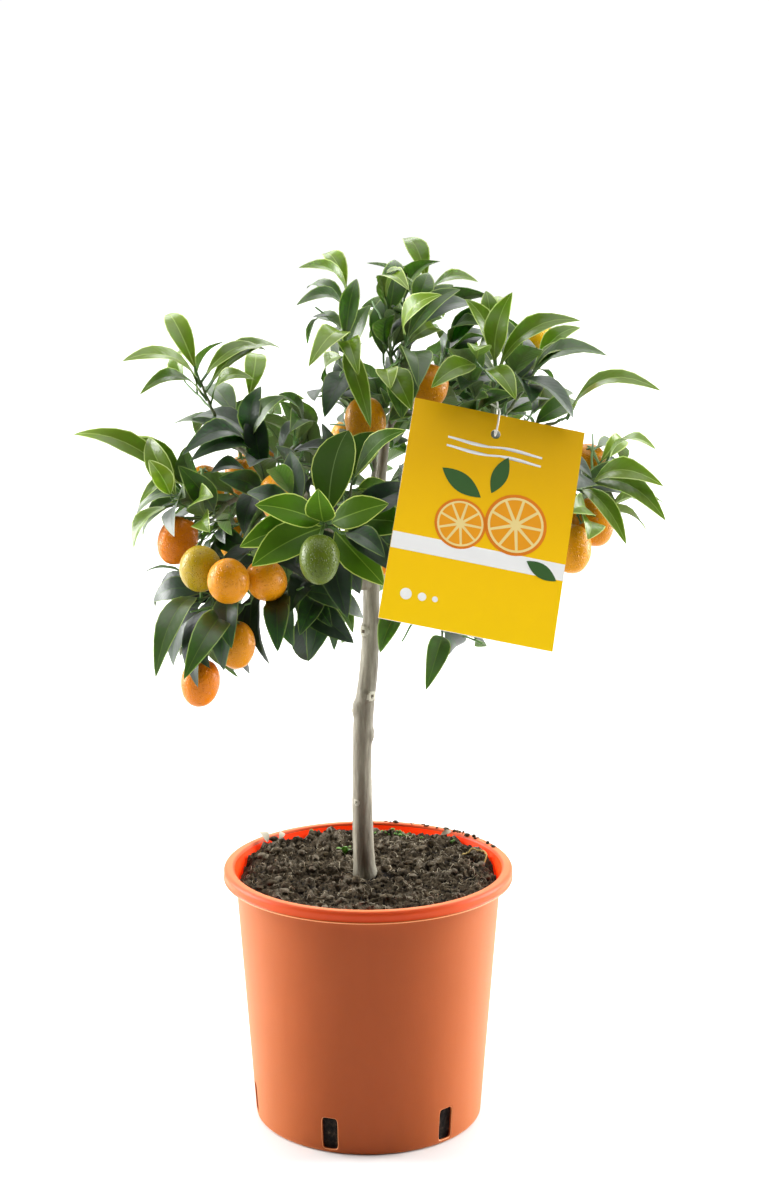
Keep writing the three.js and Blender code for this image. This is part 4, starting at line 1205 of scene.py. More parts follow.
# %% Bend the grid into one real leaf
def leaf_points(leaf, draw):
    length, width = leaf["length"], leaf["width"]
    kind = VARIETY["broad" if leaf["broad"] else "given" if leaf["given"] else "drawn"]
    full = sqrt(length * LEAF["length"]) * LEAF["slim"] / 2 * width * mix(*kind["full"], draw())
    blade = np.clip((ROW_AT - STALK_END) / (1 - STALK_END), 0, 1)
    half = full * np.sin(pi * blade**0.92) ** 0.8
    half = np.maximum(half, STALK_HALF * length / LEAF["length"] * (1 - 0.75 * blade))
    out = leaf_columns(half)
    full_share = np.minimum(half / full, 1)[:, None]
    rise = mix(*kind["fold"], draw()) * abs(out)
    rise = rise * (1 - 0.28 * abs(out) / half[:, None]) * full_share
    wave_turn, waves = draw() * WHOLE_TURN, mix(1.2, 2.4, draw())
    ripple = np.sin(waves * WHOLE_TURN * ROW_AT + wave_turn)[:, None] * np.sign(out)
    rise += 0.016 * length * ripple * (out / full) ** 2 * full_share
    rise += (4 * mix(*kind["arch"], draw()) * length * ROW_AT * (1 - ROW_AT))[:, None]
    droop = mix(0.2, 0.9, draw()) * length
    rise -= (droop * np.maximum(ROW_AT - 0.7, 0) ** 2)[:, None]
    sweep = mix(-0.05, 0.05, draw()) * length * np.sin(pi * ROW_AT)
    lift = 4 * ROW_AT * (1 - ROW_AT) * length * leaf["lift"]
    thick = 0.34 + 1.16 * (1 - np.clip(blade * 9, 0, 1))[:, None]
    thick = thick * np.where(abs(out) < 1.2 * RIB_HALF, 1.6, 1) * length / LEAF["length"]
    base, along = leaf["base"], leaf["along"]
    side, face = blade_turn(leaf)

    def placed(rise_now):
        return (base + (ROW_AT * length)[:, None, None] * along
                + (out + sweep[:, None])[..., None] * side + rise_now[..., None] * face
                + lift[:, None, None] * UP)

    upper = placed(rise).reshape(-1, 3)
    lower = placed(rise - thick)[:, 1:-1].reshape(-1, 3)
    tip = base + along * length - face * (droop * 0.09 + 0.15)
    return np.concatenate([upper, lower, [tip]]), leaf_uv(out / full)


def leaf_uv(across):
    top_uv = np.stack([0.5 + 0.5 * across, np.broadcast_to(ROW_AT[:, None], across.shape)], axis=-1)
    return np.concatenate([top_uv.reshape(-1, 2), top_uv[:, 1:-1].reshape(-1, 2), [[0.5, 1.0]]])


# %% [markdown]
# ## A tone for each leaf
# On a shoot the youngest leaves are at its tip, so the tone goes by a leaf's order from there, and
# each spray and each leaf strays a little from it. Tones darken from the tip inward, partly by age
# and partly as painted shade inside the crown. Masses at the top and outside start lighter, partly
# new growth and partly painted light, and low and inner masses start darker, as painted shade.

# %% Deal a tone to each leaf
TONE_NAMES = list(TONES)
# For each kind of mass, the tones from the outermost leaves to the innermost; they darken inward,
# partly by age and partly as painted shade inside the crown.
AGE_AND_SHADE_TONES = {
    "light": ["light", "light", "fresh", "fresh", "grown", "grown", "old", "old"],
    "grown": ["fresh", "grown", "grown", "grown", "old", "old", "old"],
    "dark": ["grown", "grown", "old", "old", "old", "deep", "deep"],
    "rosette": ["young", "young", "young", "rich", "young", "young", "young", "rich"],
}


def tone_of(leaf, own, spray_draw, draw):
    ages = AGE_AND_SHADE_TONES[own.mass["tone"]]
    later = 0 if leaf["given"] else 1
    # Drawn leaves behind the rosette take the dark tones: painted shade as well as age.
    if own.mass["tone"] == "rosette" and not leaf["given"]:
        ages = AGE_AND_SHADE_TONES["dark"]
    step = leaf["order"] + later
    if ages is not AGE_AND_SHADE_TONES["rosette"]:
        step += round(spray_draw * 2 - 0.6) + round(draw() * 1.4 - 0.5)
    return TONE_NAMES.index(ages[max(0, min(step, len(ages) - 1))])


print("tones from tip to foot:", *AGE_AND_SHADE_TONES["light"])

# %% Leaves of each mass
# The longest shoots at the crown's outside bear narrower leaves.
SLENDER = dict(far_left=0.74, upper_left=0.84, right_upper=0.72, right=0.88, top_left=0.82,
               top_middle=0.86, right_top=0.88)
SPRAY_SIZE = 14  # leaves within so many mm share a spray's shift of tone
FINISHES_PER_TONE = 4


def leaf_piece(own, draw):
    parts, sprays = Parts(), {}
    for leaf in own.leaves:
        leaf["broad"] = own.mass["tone"] == "rosette" and leaf["given"]
        leaf["lift"] = 0.02 if leaf["broad"] or not leaf["given"] else 0.09
        leaf["width"] = SLENDER.get(own.mass["name"], 1) if leaf["given"] else 1
        spray = sprays.setdefault(tuple(np.round(leaf["base"] / SPRAY_SIZE)), draw())
        tone = tone_of(leaf, own, spray, draw) * FINISHES_PER_TONE
        points, uv = leaf_points(leaf, draw)
        picks = [len(LEAF_FINISHES) if part == STALK else tone + part for part in LEAF_FACE_PARTS]
        parts.add(points, LEAF_FACES, picks, uv)
    parts.piece("leaves_" + own.mass["name"], [*LEAF_FINISHES, STALK_FINISH], slot="foliage",
                stands_for=["foliage_" + own.mass["name"]])


leaf_draw = seeded(SEED + 3)
for own in skeletons:
    leaf_piece(own, leaf_draw)

# %% [markdown]
# ## Twigs and fruit stalks
# Stems are grey-brown like the trunk, the shoots on them still green. Each is a tube that thins
# along its curve. A skin modifier could wrap them all, but not with a size for each. Green and
# woody ones are joined into two pieces, as a plant has too many twigs for single objects.

# %% Twigs
TWIG_SEED, STRAY = 501, 0.9


def twig_line(arc, steps, seed):
    """The arc with the small zigzag that a twig has from leaf to leaf."""
    line = arc.points(steps)
    draw = seeded(seed)
    for row in range(1, steps):
        line[row] += vec(draw() - 0.5, draw() - 0.5, draw() - 0.5) * STRAY
    return line


green_parts, woody_parts = Parts(), Parts()
for index, own in enumerate(skeletons):
    seed = TWIG_SEED + 61 * index
    stem_radii = np.linspace(TWIG["stem"] * 1.12, TWIG["stem"] * 0.86, 13)
    woody_parts.add(*tube(twig_line(own.stem, 12, seed), stem_radii, 10), 0)
    for number, arc in enumerate(own.shoots):
        line = twig_line(arc, 12, seed + 7 * number + 1)
        radii = np.linspace(TWIG["fork"], TWIG["end"] * 0.7, 13)
        green_parts.add(*tube(line, radii, 8), 0)
    for number, arc in enumerate(own.side_twigs + own.fine_twigs):
        line = twig_line(arc, 5, seed + 13 * number + 5)
        green_parts.add(*tube(line, np.linspace(1.0, 0.55, 6), 6), 1)
print("twigs and stems:", len(green_parts.points) + len(woody_parts.points))

# %% Green bark
shoot_finish = grained("shoot_bark", (0.085, 0.12, 0.045), 0.55, 0.35, (260, 3), [
    (0.3, (0.05, 0.085, 0.03)), (0.7, (0.15, 0.16, 0.075)),
], ((900, 3, 0.6, (1, 1, 0.35)), 0.0005, 0.5))
young_twig = grained("young_twig", (0.1, 0.2, 0.05), 0.45, 0.45, (), (), ((800, 2), 0.0003, 0.4))
green_parts.piece("green_twigs", [shoot_finish, young_twig], slot="foliage")

# %% [markdown]
# ## Fruits
# A kumquat is an oval berry of about 27 by 34 mm. Its rind is glossy and pitted by oil glands,
# and at the stalk sits a small five-pointed calyx. The rind is turned from a profile like a vase,
# the glands are a bump, and each fruit has a plain colour by its ripeness.

# %% Rind finishes
RINDS = {
    "orange": (0.59, 0.22, 0.001), "ripe": (0.63, 0.175, 0.001), "golden": (0.6, 0.245, 0.001),
    "yellow": (0.7, 0.4, 0.003), "lime": (0.37, 0.25, 0.004), "green": (0.082, 0.118, 0.008),
}


def gland_height(finish):
    pits = node(finish, "ShaderNodeTexVoronoi", [("Vector", place_of(finish))], Scale=720,
                Randomness=0.9)
    return ramp(finish, pits.outputs["Distance"], [(0.0, hue(0, 0, 0)), (0.42, hue(1, 1, 1))])


def rind_finish(name, colour):
    finish = new_finish(f"rind_{name}", colour, 0.3, gloss=0.2)
    let_light_in(finish, 0.08, (0.004, 0.002, 0.001))
    bumped(finish, (gland_height(finish), 0.0007, 0.8), (grain(finish, 90, 2), 0.0015, 0.3))
    return finish


RIND_FINISHES = [rind_finish(name, colour) for name, colour in RINDS.items()]
calyx_finish = new_finish("calyx", (0.11, 0.19, 0.045), 0.55, gloss=0.4)
scar_finish = new_finish("fruit_scar", (0.16, 0.085, 0.025), 0.8, gloss=0.2)
CALYX_PICK, SCAR_PICK = len(RINDS), len(RINDS) + 1
print("rinds:", *RINDS)

# %% A fruit's profile
FRUIT_ROWS, FRUIT_SIDES = 26, 32


def fruit_profile():
    """Shares of the axis and of the radius: an oval with full shoulders."""
    turns = np.linspace(0.05, pi - 0.05, FRUIT_ROWS)
    along = -np.cos(turns)
    round_out = np.sin(turns) ** 0.92 * (1 - 0.045 * along)
    dimple = 0.05 * np.exp(-((along + 1) / 0.07) ** 2)
    return along + dimple, round_out


def hanging(axis):
    """A fruit's own weight turns it down from the way its stalk left."""
    return axis if axis[2] > 0.3 else unit(axis * 0.45 - UP * 0.7)


print("a fruit's widest ring:", fruit_profile()[1].max().round(3))

# %% The calyx
STAR_STEPS = 20
STAR_REACH = (3.9, 2.6, 1.3, 2.6)  # from one point of the star to the next


def calyx(top, axis, turn):
    """A shallow five-pointed star that clasps the fruit's top."""
    side = unit(np.cross(axis, vec(0.3, 0.9, 0.2)))
    other = np.cross(axis, side)
    points = [top - axis * 0.4]
    for step in range(STAR_STEPS):
        angle, reach = radians(turn + step * 360 / STAR_STEPS), STAR_REACH[step % 4]
        out = side * cos(angle) + other * sin(angle)
        points.append(top + axis * (0.25 + 0.06 * reach**1.5) + out * reach)
    points += [point + axis * 0.7 for point in points[1:]] + [top + axis * 1.2]
    faces = fan(1, STAR_STEPS, 0) + shifted(grid_faces(2, STAR_STEPS), 1)
    faces += flipped(fan(1 + STAR_STEPS, STAR_STEPS, len(points) - 1))
    return np.array(points), faces


print("a calyx:", len(calyx(UP, UP, 0)[1]), "faces")


# %% A fruit with stalk, calyx and scar
def add_fruit(parts, fruit, draw):
    axis, middle = hanging(fruit["axis"]), fruit["middle"]
    along, out = fruit_profile()
    size = mix(0.94, 1.01, draw()) * (0.92 if fruit["hue"] == "green" else 1)
    line = middle + np.outer(along * FRUIT["half"] * size, axis)
    points, faces = tube(line, out * FRUIT["radius"] * size * 0.98, FRUIT_SIDES)
    for row, place in enumerate(points[:-2] - middle):
        points[row] = middle + place * (1 + 0.012 * noise.noise(Vector(place / 9 + middle)))
    parts.add(points, faces, list(RINDS).index(fruit["hue"]))
    top = middle - axis * FRUIT["half"] * size
    foot = middle + axis * FRUIT["half"] * size
    parts.add(*tube([foot - axis * 0.35, foot - axis * 0.05, foot + axis * 0.12],
                    [0.55, 0.45, 0.2], 8), SCAR_PICK)
    bend = (fruit["hold"] + top) / 2 + vec(draw() - 0.5, draw() - 0.5, 0.3) * 2
    stalk = Arc(fruit["hold"], bend, top + axis * 0.8)
    parts.add(*tube(stalk.points(8), np.linspace(0.8, 1.35, 9), 8), CALYX_PICK)
    parts.add(*calyx(top, axis, draw() * 72), CALYX_PICK)


fruit_parts = Parts()
fruit_draw = seeded(SEED + 9)
for fruit in fruits:
    add_fruit(fruit_parts, fruit, fruit_draw)
fruit_parts.piece("fruits", [*RIND_FINISHES, calyx_finish, scar_finish], slot="foliage")

# %% [markdown]
# ## Trunk and boughs
# The stem of a young citrus is slim, grey-beige and nearly smooth, with long shallow furrows and
# a few knots where side shoots were cut off. A bump would never show in its outline. So a fine
# grid is wrapped round the solid's line, and noise stretched along the stem moves its points.

# %% Bark relief
BARK_SEED = 4.7


def bark_relief(along, turn, place):
    """How far the bark stands out, in mm, at a length along the stem and a turn round it."""
    ring = Vector((cos(turn) * 2.1, sin(turn) * 2.1, along / 34 + BARK_SEED))
    swell = noise.fractal(ring, 0.8, 2.0, 3)
    furrow = Vector((cos(turn) * 4.6, sin(turn) * 4.6, along / 17))
    ridges = 1 - abs(noise.noise(furrow)) * 2
    fine = noise.fractal(Vector(place) * 0.9, 0.7, 2.1, 3)
    return 0.26 * swell + 0.09 * ridges + 0.08 * fine


print("relief at one place:", round(bark_relief(50, 1, vec(7, 0, 250)), 2), "mm")

# %% Knots, scars and the flare at the foot
# Fresher scars of small shoots, which the solid leaves out: height, bearing and size.
SCARS = [(346, 228, 2.8), (301, 305, 2.8), (226, 236, 1.9)]


def knot_reach(height, bearing, knot):
    """How far a place on the bark is from a knot's middle, in shares of the knot's size."""
    middle, side, size = knot
    round_way = (bearing - side + 180) % 360 - 180
    return hypot(height - middle, radians(round_way) * trunk_radius(middle)) / size


def knot_relief(height, bearing):
    """Knots are low domes with a sunken middle and a ring round it."""
    out = 0.0
    for knot in KNOTS + SCARS:
        share, size = knot_reach(height, bearing, knot), knot[2]
        out += 0.62 * size * exp(-(share**2) * 0.9)
        out -= 0.42 * size * exp(-(share**2) * 5)
        out += 0.07 * size * exp(-((share - 1.25) / 0.22) ** 2)
    return out


def flare(height):
    return 0.4 * exp(-(height - 168) / 6) if height < 215 else 0


print("knots and scars:", len(KNOTS + SCARS))


# %% A limb wrapped in bark
def bark_limb(line, radii, sides, trunk=False):
    """A tube whose points stand in or out by the bark's relief."""
    points, faces = tube(line, radii, sides)
    lengths = np.concatenate([[0], np.cumsum(norm(np.diff(line, axis=0), axis=1))])
    for row, middle in enumerate(line):
        for side in range(sides):
            number = row * sides + side
            out = unit(points[number] - middle)
            turn = side * WHOLE_TURN / sides
            bark = bark_relief(lengths[row] + middle[0], turn, points[number])
            step = bark * min(1, radii[row] / 5)
            if trunk:
                bearing = degrees(atan2(out[1], out[0]))
                lobes = 1 + 0.45 * sin(bearing / 57.3 * 4 + 1.1)
                step += knot_relief(middle[2], bearing) + flare(middle[2]) * lobes
            points[number] += out * step
    return points, faces


# %% The trunk's skin
TRUNK_SKIN_ROWS, TRUNK_SKIN_SIDES = 300, 56
SMOOTHED_ROWS = 13  # so many rows share each radius, which rounds the taper's corners
trunk_line = smooth_points(TRUNK_POINTS, np.linspace(0, 1, TRUNK_SKIN_ROWS))
below = np.array([trunk_line[0] - UP * drop for drop in (7, 4, 2)])
trunk_line = np.concatenate([below, trunk_line])
taper = np.pad([trunk_radius(place[2]) for place in trunk_line], SMOOTHED_ROWS // 2, mode="edge")
taper = np.convolve(taper, np.ones(SMOOTHED_ROWS) / SMOOTHED_ROWS, "valid")
trunk_points, trunk_faces = bark_limb(trunk_line, taper, TRUNK_SKIN_SIDES, trunk=True)
print("the trunk's skin:", len(trunk_faces), "faces")

# %% Bark and scars
BARK, CALLUS, HEARTWOOD = range(3)


def scar_pick(place):
    """A scar has a dark middle of heartwood in a pale ring of callus."""
    bearing = degrees(atan2(*(place - trunk_middle(place[2]))[[1, 0]]))
    for scar in SCARS:
        share = knot_reach(place[2], bearing, scar)
        if share < 1.25:
            return HEARTWOOD if share < 0.45 else CALLUS
    return BARK


trunk_picks = [scar_pick(trunk_points[list(face)].mean(axis=0)) for face in trunk_faces]
bark_finish = grained("bark", (0.2, 0.18, 0.13), 0.62, 0.45, (110, 8, 0.66, (1, 1, 0.13)), [
    (0.28, (0.054, 0.045, 0.028)), (0.44, (0.136, 0.119, 0.08)),
    (0.58, (0.226, 0.208, 0.15)), (0.76, (0.4, 0.38, 0.295)),
], ((420, 7, 0.65, (1, 1, 0.2)), 0.0011, 0.7))
callus_finish = grained("bark_callus", (0.4, 0.385, 0.3), 0.7, 0.35, (), (),
                        ((500, 5), 0.0008, 0.7))
heart_finish = new_finish("scar_heart", (0.075, 0.06, 0.04), 0.85, gloss=0.2)
make_piece("trunk_bark", trunk_points, trunk_faces, [bark_finish, callus_finish, heart_finish],
           trunk_picks, slot="bark", stands_for=["trunk"])

# %% Boughs
COLLAR = 1.1  # how much a bough swells where it leaves the trunk
bough_parts = Parts()
for bough in BOUGHS.values():
    line = bough_arc(bough).points(40)
    thickness = np.linspace(bough["thick"] * 1.08, bough["thin"], 41)
    thickness[:12] += COLLAR * np.exp(-np.arange(12) / 4)
    bough_parts.add(*bark_limb(line, thickness, 24), 0)
bough_parts.piece("bough_bark", [bark_finish], slot="bark", stands_for=list(BOUGHS))
woody_parts.piece("woody_stems", [bark_finish], slot="bark")

# %% [markdown]
# ## The nursery pot
# The pot is moulded from thin orange plastic: a smooth cone with a rolled lip, and six drain slots
# at its foot. It could be turned with a screw modifier. Here a profile is swept round the Z axis
# by formula, because the grid's columns have to stand closer where the slots will be.

# %% Columns of the pot's grid
LIP_FOOT = POT["height"] - POT["lip_height"]
RIM_INSIDE = POT["rim"] - POT["lip_width"]
SLOT_COLUMNS, WALL_COLUMNS = 10, 22
SECTOR_COLUMNS = SLOT_COLUMNS + WALL_COLUMNS
PATCH_HALF, PATCH_LOW, PATCH_HIGH = 6.2, 2.62, 27.4
PATCH_ROWS = 14


def wall_radius(height):
    low, high = POT["corner"], LIP_FOOT - 1.5
    return mix(POT["base"] + 0.2, POT["wall_top"], (height - low) / (high - low))


def pot_columns():
    """Bearings of the grid's columns: narrow ones over each slot, wider ones between."""
    half = degrees(PATCH_HALF / wall_radius(15))
    sector = 360 / SLOT["count"]
    bearings = []
    for slot in range(SLOT["count"]):
        middle = SLOT["first"] + sector * slot
        bearings += list(np.linspace(middle - half, middle + half, SLOT_COLUMNS, endpoint=False))
        bearings += list(np.linspace(middle + half, middle + sector - half, WALL_COLUMNS,
                                     endpoint=False))
    return np.radians(bearings)


BEARINGS = pot_columns()
print("columns:", len(BEARINGS))


# %% The pot's profile
def arc_points(middle, radius, start, stop, steps):
    turns = np.radians(np.linspace(start, stop, steps))
    return [(middle[0] + radius * cos(turn), middle[1] + radius * sin(turn)) for turn in turns]


PATCH_HEIGHTS = list(np.linspace(PATCH_LOW, PATCH_HIGH, PATCH_ROWS + 1))
POT_HEIGHTS = list(np.linspace(PATCH_HIGH, LIP_FOOT - 1.8, 26))[1:]


def pot_profile():
    """Radius and height from the middle of the base, up the outside, over the lip and down."""
    corner = arc_points((POT["base"] - 2.3, 2.5), 2.48, -90, -4, 7)
    outside = [(wall_radius(height), height) for height in PATCH_HEIGHTS + POT_HEIGHTS]
    lip = [(POT["wall_top"] + 0.5, -0.4), (POT["wall_top"] + 1.6, 0.2), (97.9, 0.4)]
    lip += arc_points((99.35, 0.95), 0.6, -130, 60, 7) + [(99.4, 1.75), (99.55, 3.6), (99.75, 5.3)]
    lip += arc_points((96.95, 5.65), 2.85, 5, 90, 8)
    lip += arc_points((RIM_INSIDE + 2.3, 6.5), 2.0, 90, 172, 7)
    lip += [(91.1, 4.6), (90.1, 2.6), (89.75, -1.5)]
    lip = [(radius, LIP_FOOT + rise) for radius, rise in lip]
    inside = [(wall_radius(height) - POT["wall"], height)
              for height in reversed(PATCH_HEIGHTS + POT_HEIGHTS)]
    inside[-1] = (inside[-1][0], POT["floor"] + 0.55)
    floor = [(POT["base"] - POT["wall"] - 1.5, POT["floor"]), (40, POT["floor"]), (1, POT["floor"])]
    return [(1, 0.02), (40, 0.02)] + corner + outside + lip + inside + floor


PROFILE = np.array(pot_profile())
# The rows of the profile where its parts begin, counted from its two ends.
BASE_ROWS, CORNER_ROWS, FLOOR_ROWS = 2, 7, 3
SIDE_ROWS = len(PATCH_HEIGHTS + POT_HEIGHTS)
OUTER_FIRST = BASE_ROWS + CORNER_ROWS
INNER_LAST = len(PROFILE) - FLOOR_ROWS - 1
INSIDE_FIRST = INNER_LAST - SIDE_ROWS - 3
LIP_EDGE_FIRST = OUTER_FIRST + SIDE_ROWS + 3
LIP_EDGE_ROWS = range(LIP_EDGE_FIRST + 1, LIP_EDGE_FIRST + 5)
LIP_ROWS = range(LIP_EDGE_FIRST + 7, INSIDE_FIRST)
print("rows:", len(PROFILE))

# %% [markdown]
# ## Real drain slots
# A boolean cut would leave long thin triangles round each slot, which show on a smooth wall. Here
# the grid leaves a square patch free, and each slot's rounded outline has as many points as the
# patch's border, so four-sided faces join the two and line the opening.

# %% Patches and the outlines of slots
def in_slot(row, column):
    over_slot = column % SECTOR_COLUMNS < SLOT_COLUMNS
    outer = OUTER_FIRST <= row < OUTER_FIRST + PATCH_ROWS
    inner = INNER_LAST - PATCH_ROWS <= row < INNER_LAST
    return over_slot and (outer or inner)


def patch_border():
    """Columns and rows along the border of a patch, counter-clockwise from below."""
    steps = [(column, 0) for column in range(SLOT_COLUMNS)]
    steps += [(SLOT_COLUMNS, row) for row in range(PATCH_ROWS)]
    steps += [(column, PATCH_ROWS) for column in range(SLOT_COLUMNS, 0, -1)]
    return steps + [(0, row) for row in range(PATCH_ROWS, 0, -1)]


def slot_edge(slot, grow):
    """A slot's rounded outline: a bearing and a height for each step of the border."""
    middle = radians(SLOT["first"] + 360 / SLOT["count"] * slot)
    centre = SLOT["foot"] + SLOT["height"] / 2
    edge = []
    for column, row in patch_border():
        x, z = column / SLOT_COLUMNS * 2 - 1, row / PATCH_ROWS * 2 - 1
        corner = 7  # the higher, the squarer
        reach = (abs(x) ** corner + abs(z) ** corner) ** (1 / corner)
        across = x / reach * (SLOT["width"] / 2 + grow)
        rise = z / reach * (SLOT["height"] / 2 + grow)
        edge.append((middle + across / POT["base"], centre + rise))
    return edge


print("points round a slot:", len(patch_border()))

# %% Faces round one slot
# The lip's foot and each slot's rounded outer edge get a lighter orange: a painted highlight, where
# those edges catch light.
WALL, INSIDE, HIGHLIGHT_EDGE, LIP = range(4)
ROUNDING = 0.35  # of a slot's outer edge
# How deep in the wall each loop of a slot lies, and how much wider than the slot it is.
SLOT_LOOPS = ((0, ROUNDING), (ROUNDING, 0), (POT["wall"], 0))


def add_slot(slot, points, faces, picks):
    """Joins the patch outside to the patch inside, by three loops that line the slot."""
    columns, border = len(BEARINGS), patch_border()

    def patch(row_of):
        return [row_of(row) * columns + (slot * SECTOR_COLUMNS + column) % columns
                for column, row in border]

    chain = [patch(lambda row: OUTER_FIRST + row)]
    for depth, grow in SLOT_LOOPS:
        chain.append(range(len(points), len(points) + len(border)))
        for bearing, height in slot_edge(slot, grow):
            radius = wall_radius(height) - depth
            points.append((radius * cos(bearing), radius * sin(bearing), height))
    chain.append(patch(lambda row: INNER_LAST - row))
    for number, (near, far) in enumerate(zip(chain[:-1], chain[1:])):
        for step in range(len(border)):
            after = (step + 1) % len(border)
            faces.append((near[step], near[after], far[after], far[step]))
            # The slot's rounded outer edge gets the painted highlight.
            picks.append(HIGHLIGHT_EDGE if number == 1 else WALL)


# %% The whole pot
def pot_pick(row):
    if row >= INSIDE_FIRST:
        return INSIDE
    # The rows at the lip's foot take the painted highlight.
    return HIGHLIGHT_EDGE if row in LIP_EDGE_ROWS else LIP if row in LIP_ROWS else WALL


def pot_mesh():
    rows, columns = len(PROFILE), len(BEARINGS)
    ring = np.stack([np.cos(BEARINGS), np.sin(BEARINGS)], axis=-1)
    points = [(radius * x, radius * y, height) for radius, height in PROFILE for x, y in ring]
    faces, picks = [], []
    for number, face in enumerate(grid_faces(rows, columns)):
        row, column = divmod(number, columns)
        if not in_slot(row, column):
            faces.append(face)
            picks.append(pot_pick(row))
    points += [(0, 0, 0.02), (0, 0, POT["floor"])]
    under, inner = len(points) - 2, len(points) - 1
    faces += fan(0, columns, under) + flipped(fan((rows - 1) * columns, columns, inner))
    picks += [WALL] * 2 * columns
    for slot in range(SLOT["count"]):
        add_slot(slot, points, faces, picks)
    return np.array(points), faces, picks


pot_points, pot_faces, pot_picks = pot_mesh()
print("faces of the pot:", len(pot_faces))

# %% [markdown]
# ## The pot's plastic
# Moulded polypropylene is satin, a little cloudy, with faint flow marks down its wall. Light below
# its skin gives the thin lip a warm glow, and the lip's own brighter, redder finish paints that
# glow and the light on the rim. A sheen pales the wall where it turns away. Inside, a weak emission
# stands in for light that bounces from wall to wall, which would render slowly.

# %% Satin plastic
def plastic_finish(name, colour, cloudy, haze):
    finish = new_finish(name, colour, 0.4, gloss=0.15)
    let_light_in(finish, cloudy, (0.006, 0.0025, 0.001))
    set_sockets(finish, Sheen_Weight=haze, Sheen_Roughness=0.5, Sheen_Tint=hue(1.0, 0.5, 0.2))
    return finish


pot_plastic = plastic_finish("pot_plastic", (0.335, 0.06, 0.01), 0.15, 0.65)
# The lip is the same plastic as the wall, coloured brighter and redder: a painted glow, and painted
# light on the rim.
lit_pot_lip = plastic_finish("lit_pot_lip", (0.545, 0.048, 0.006), 0.25, 0.7)
colour_by(pot_plastic, grain(pot_plastic, 22, 5, 0.6, (1, 1, 0.35)), [
    (0.3, (0.318, 0.056, 0.008)), (0.7, (0.352, 0.064, 0.012)),
])
bumped(pot_plastic, (grain(pot_plastic, 60, 4, 0.5, (1, 1, 0.12)), 0.0009, 0.16),
       (grain(pot_plastic, 1400, 2), 0.0002, 0.25))
print(pot_plastic.name, lit_pot_lip.name)

# %% Inside and edges, and the pot
pot_inside = new_finish("pot_inside", (0.95, 0.045, 0.003), 0.5, gloss=0.05)
let_light_in(pot_inside, 0.4, (0.008, 0.002, 0.001))
set_sockets(pot_inside, Emission_Color=hue(0.9, 0.04, 0.003), Emission_Strength=0.32)
# A lighter orange, painted as a highlight on the lip's foot and the slots' rims.
pot_edge_highlight = new_finish("pot_edge_highlight", (0.8, 0.3, 0.11), 0.35, gloss=0.4)
make_piece("pot_shell", pot_points, pot_faces, [pot_plastic, pot_inside, pot_edge_highlight, lit_pot_lip],
           pot_picks, slot="pot_plastic", stands_for=["pot"])

# %% [markdown]
# ## Peat
# The pot is filled with dark lumpy peat, which has come away from the wall here and there. A
# displaced disc would do for its top. Here rings get their heights from layered noise, because
# the same function of X and Y later sets crumbs, fibres and a sprout down on it.

# %% Clods and lumps
PEAT_SEED = 3.7


def clods(x, y):
    place = Vector((x, y, PEAT_SEED))
    lumpy = min(max(0.5 + 1.3 * noise.noise(place / 19), 0.12), 1)
    big = (0.42 - abs(noise.noise(place / 10))) * 11 * lumpy
    small = (0.4 - abs(noise.noise(place / 3.6 + Vector((9, 2, 5))))) * 3.2
    return big + small + noise.noise(place / 1.5) * 1.1


def lumps(x, y):
    place = Vector((x, y, PEAT_SEED))
    wide = noise.fractal(place / 26, 0.9, 2.0, 3) * 2.2
    heap = 2.6 * exp(-(((x + 30) / 60) ** 2 + ((y - 72) / 34) ** 2))
    return wide + clods(x, y) + noise.noise(place * 0.9) * 0.7 + heap


print("lumps in mm:", [round(lumps(x, 0), 1) for x in range(20, 80, 15)])

# %% The peat's level
SOIL_EDGE = POT["wall_top"] - POT["wall"] - 0.4 - GAP - 0.4
# Where the peat has come away from the wall: bearing, spread in degrees, depth in mm.
WALL_DIPS = ((178, 10, 9), (124, 6, 8), (84, 24, 3.5), (4, 8, 8))


def wall_dip(x, y):
    share = max(0, hypot(x, y) / SOIL_EDGE - 0.87) / 0.13
    bearing = degrees(atan2(y, x)) % 360
    depth = sum(deep * exp(-(((bearing - middle + 180) % 360 - 180) / spread) ** 2)
                for middle, spread, deep in WALL_DIPS)
    return share**1.3 * depth


def soil_height(x, y):
    """The peat is highest beside the wall, mostly at the back, and smoother round the trunk."""
    out = hypot(x, y) / SOIL_EDGE
    near_trunk = exp(-((hypot(x + 2, y) - 8) / 9) ** 2) if out < 0.4 else 0
    settle = 1 - 0.5 * near_trunk
    filled = SOIL_LEVEL + 0.6 + 2.4 * out * out * mix(0.55, 1, min(max((y + 30) / 90, 0), 1))
    return filled + lumps(x, y) * settle - wall_dip(x, y)


print("the peat at the trunk:", round(soil_height(8, 0), 1), "mm")

# %% The bed of peat
SOIL_RINGS, SOIL_SIDES = 120, 400
SOIL_FOOT, SOIL_SHOULDER = POT["floor"] + GAP, 164
SOIL_FOOT_RADIUS = POT["base"] - POT["wall"] - GAP - 0.2
# Rings up the side of the plug, close together where the drain slots show it.
SIDE_SHARES = (0, 0.01, 0.04, 0.07, 0.1, 0.13, 0.16, 0.5, 0.85)
PIT_DEPTH = 1.6


def pit(turn, height):
    """How far the peat stands back from the wall, in small hollows."""
    if height <= SOIL_FOOT:
        return 0
    place = Vector((cos(turn) * 26, sin(turn) * 26, height / 3))
    return max(PIT_DEPTH * (0.5 + noise.noise(place)), 0)


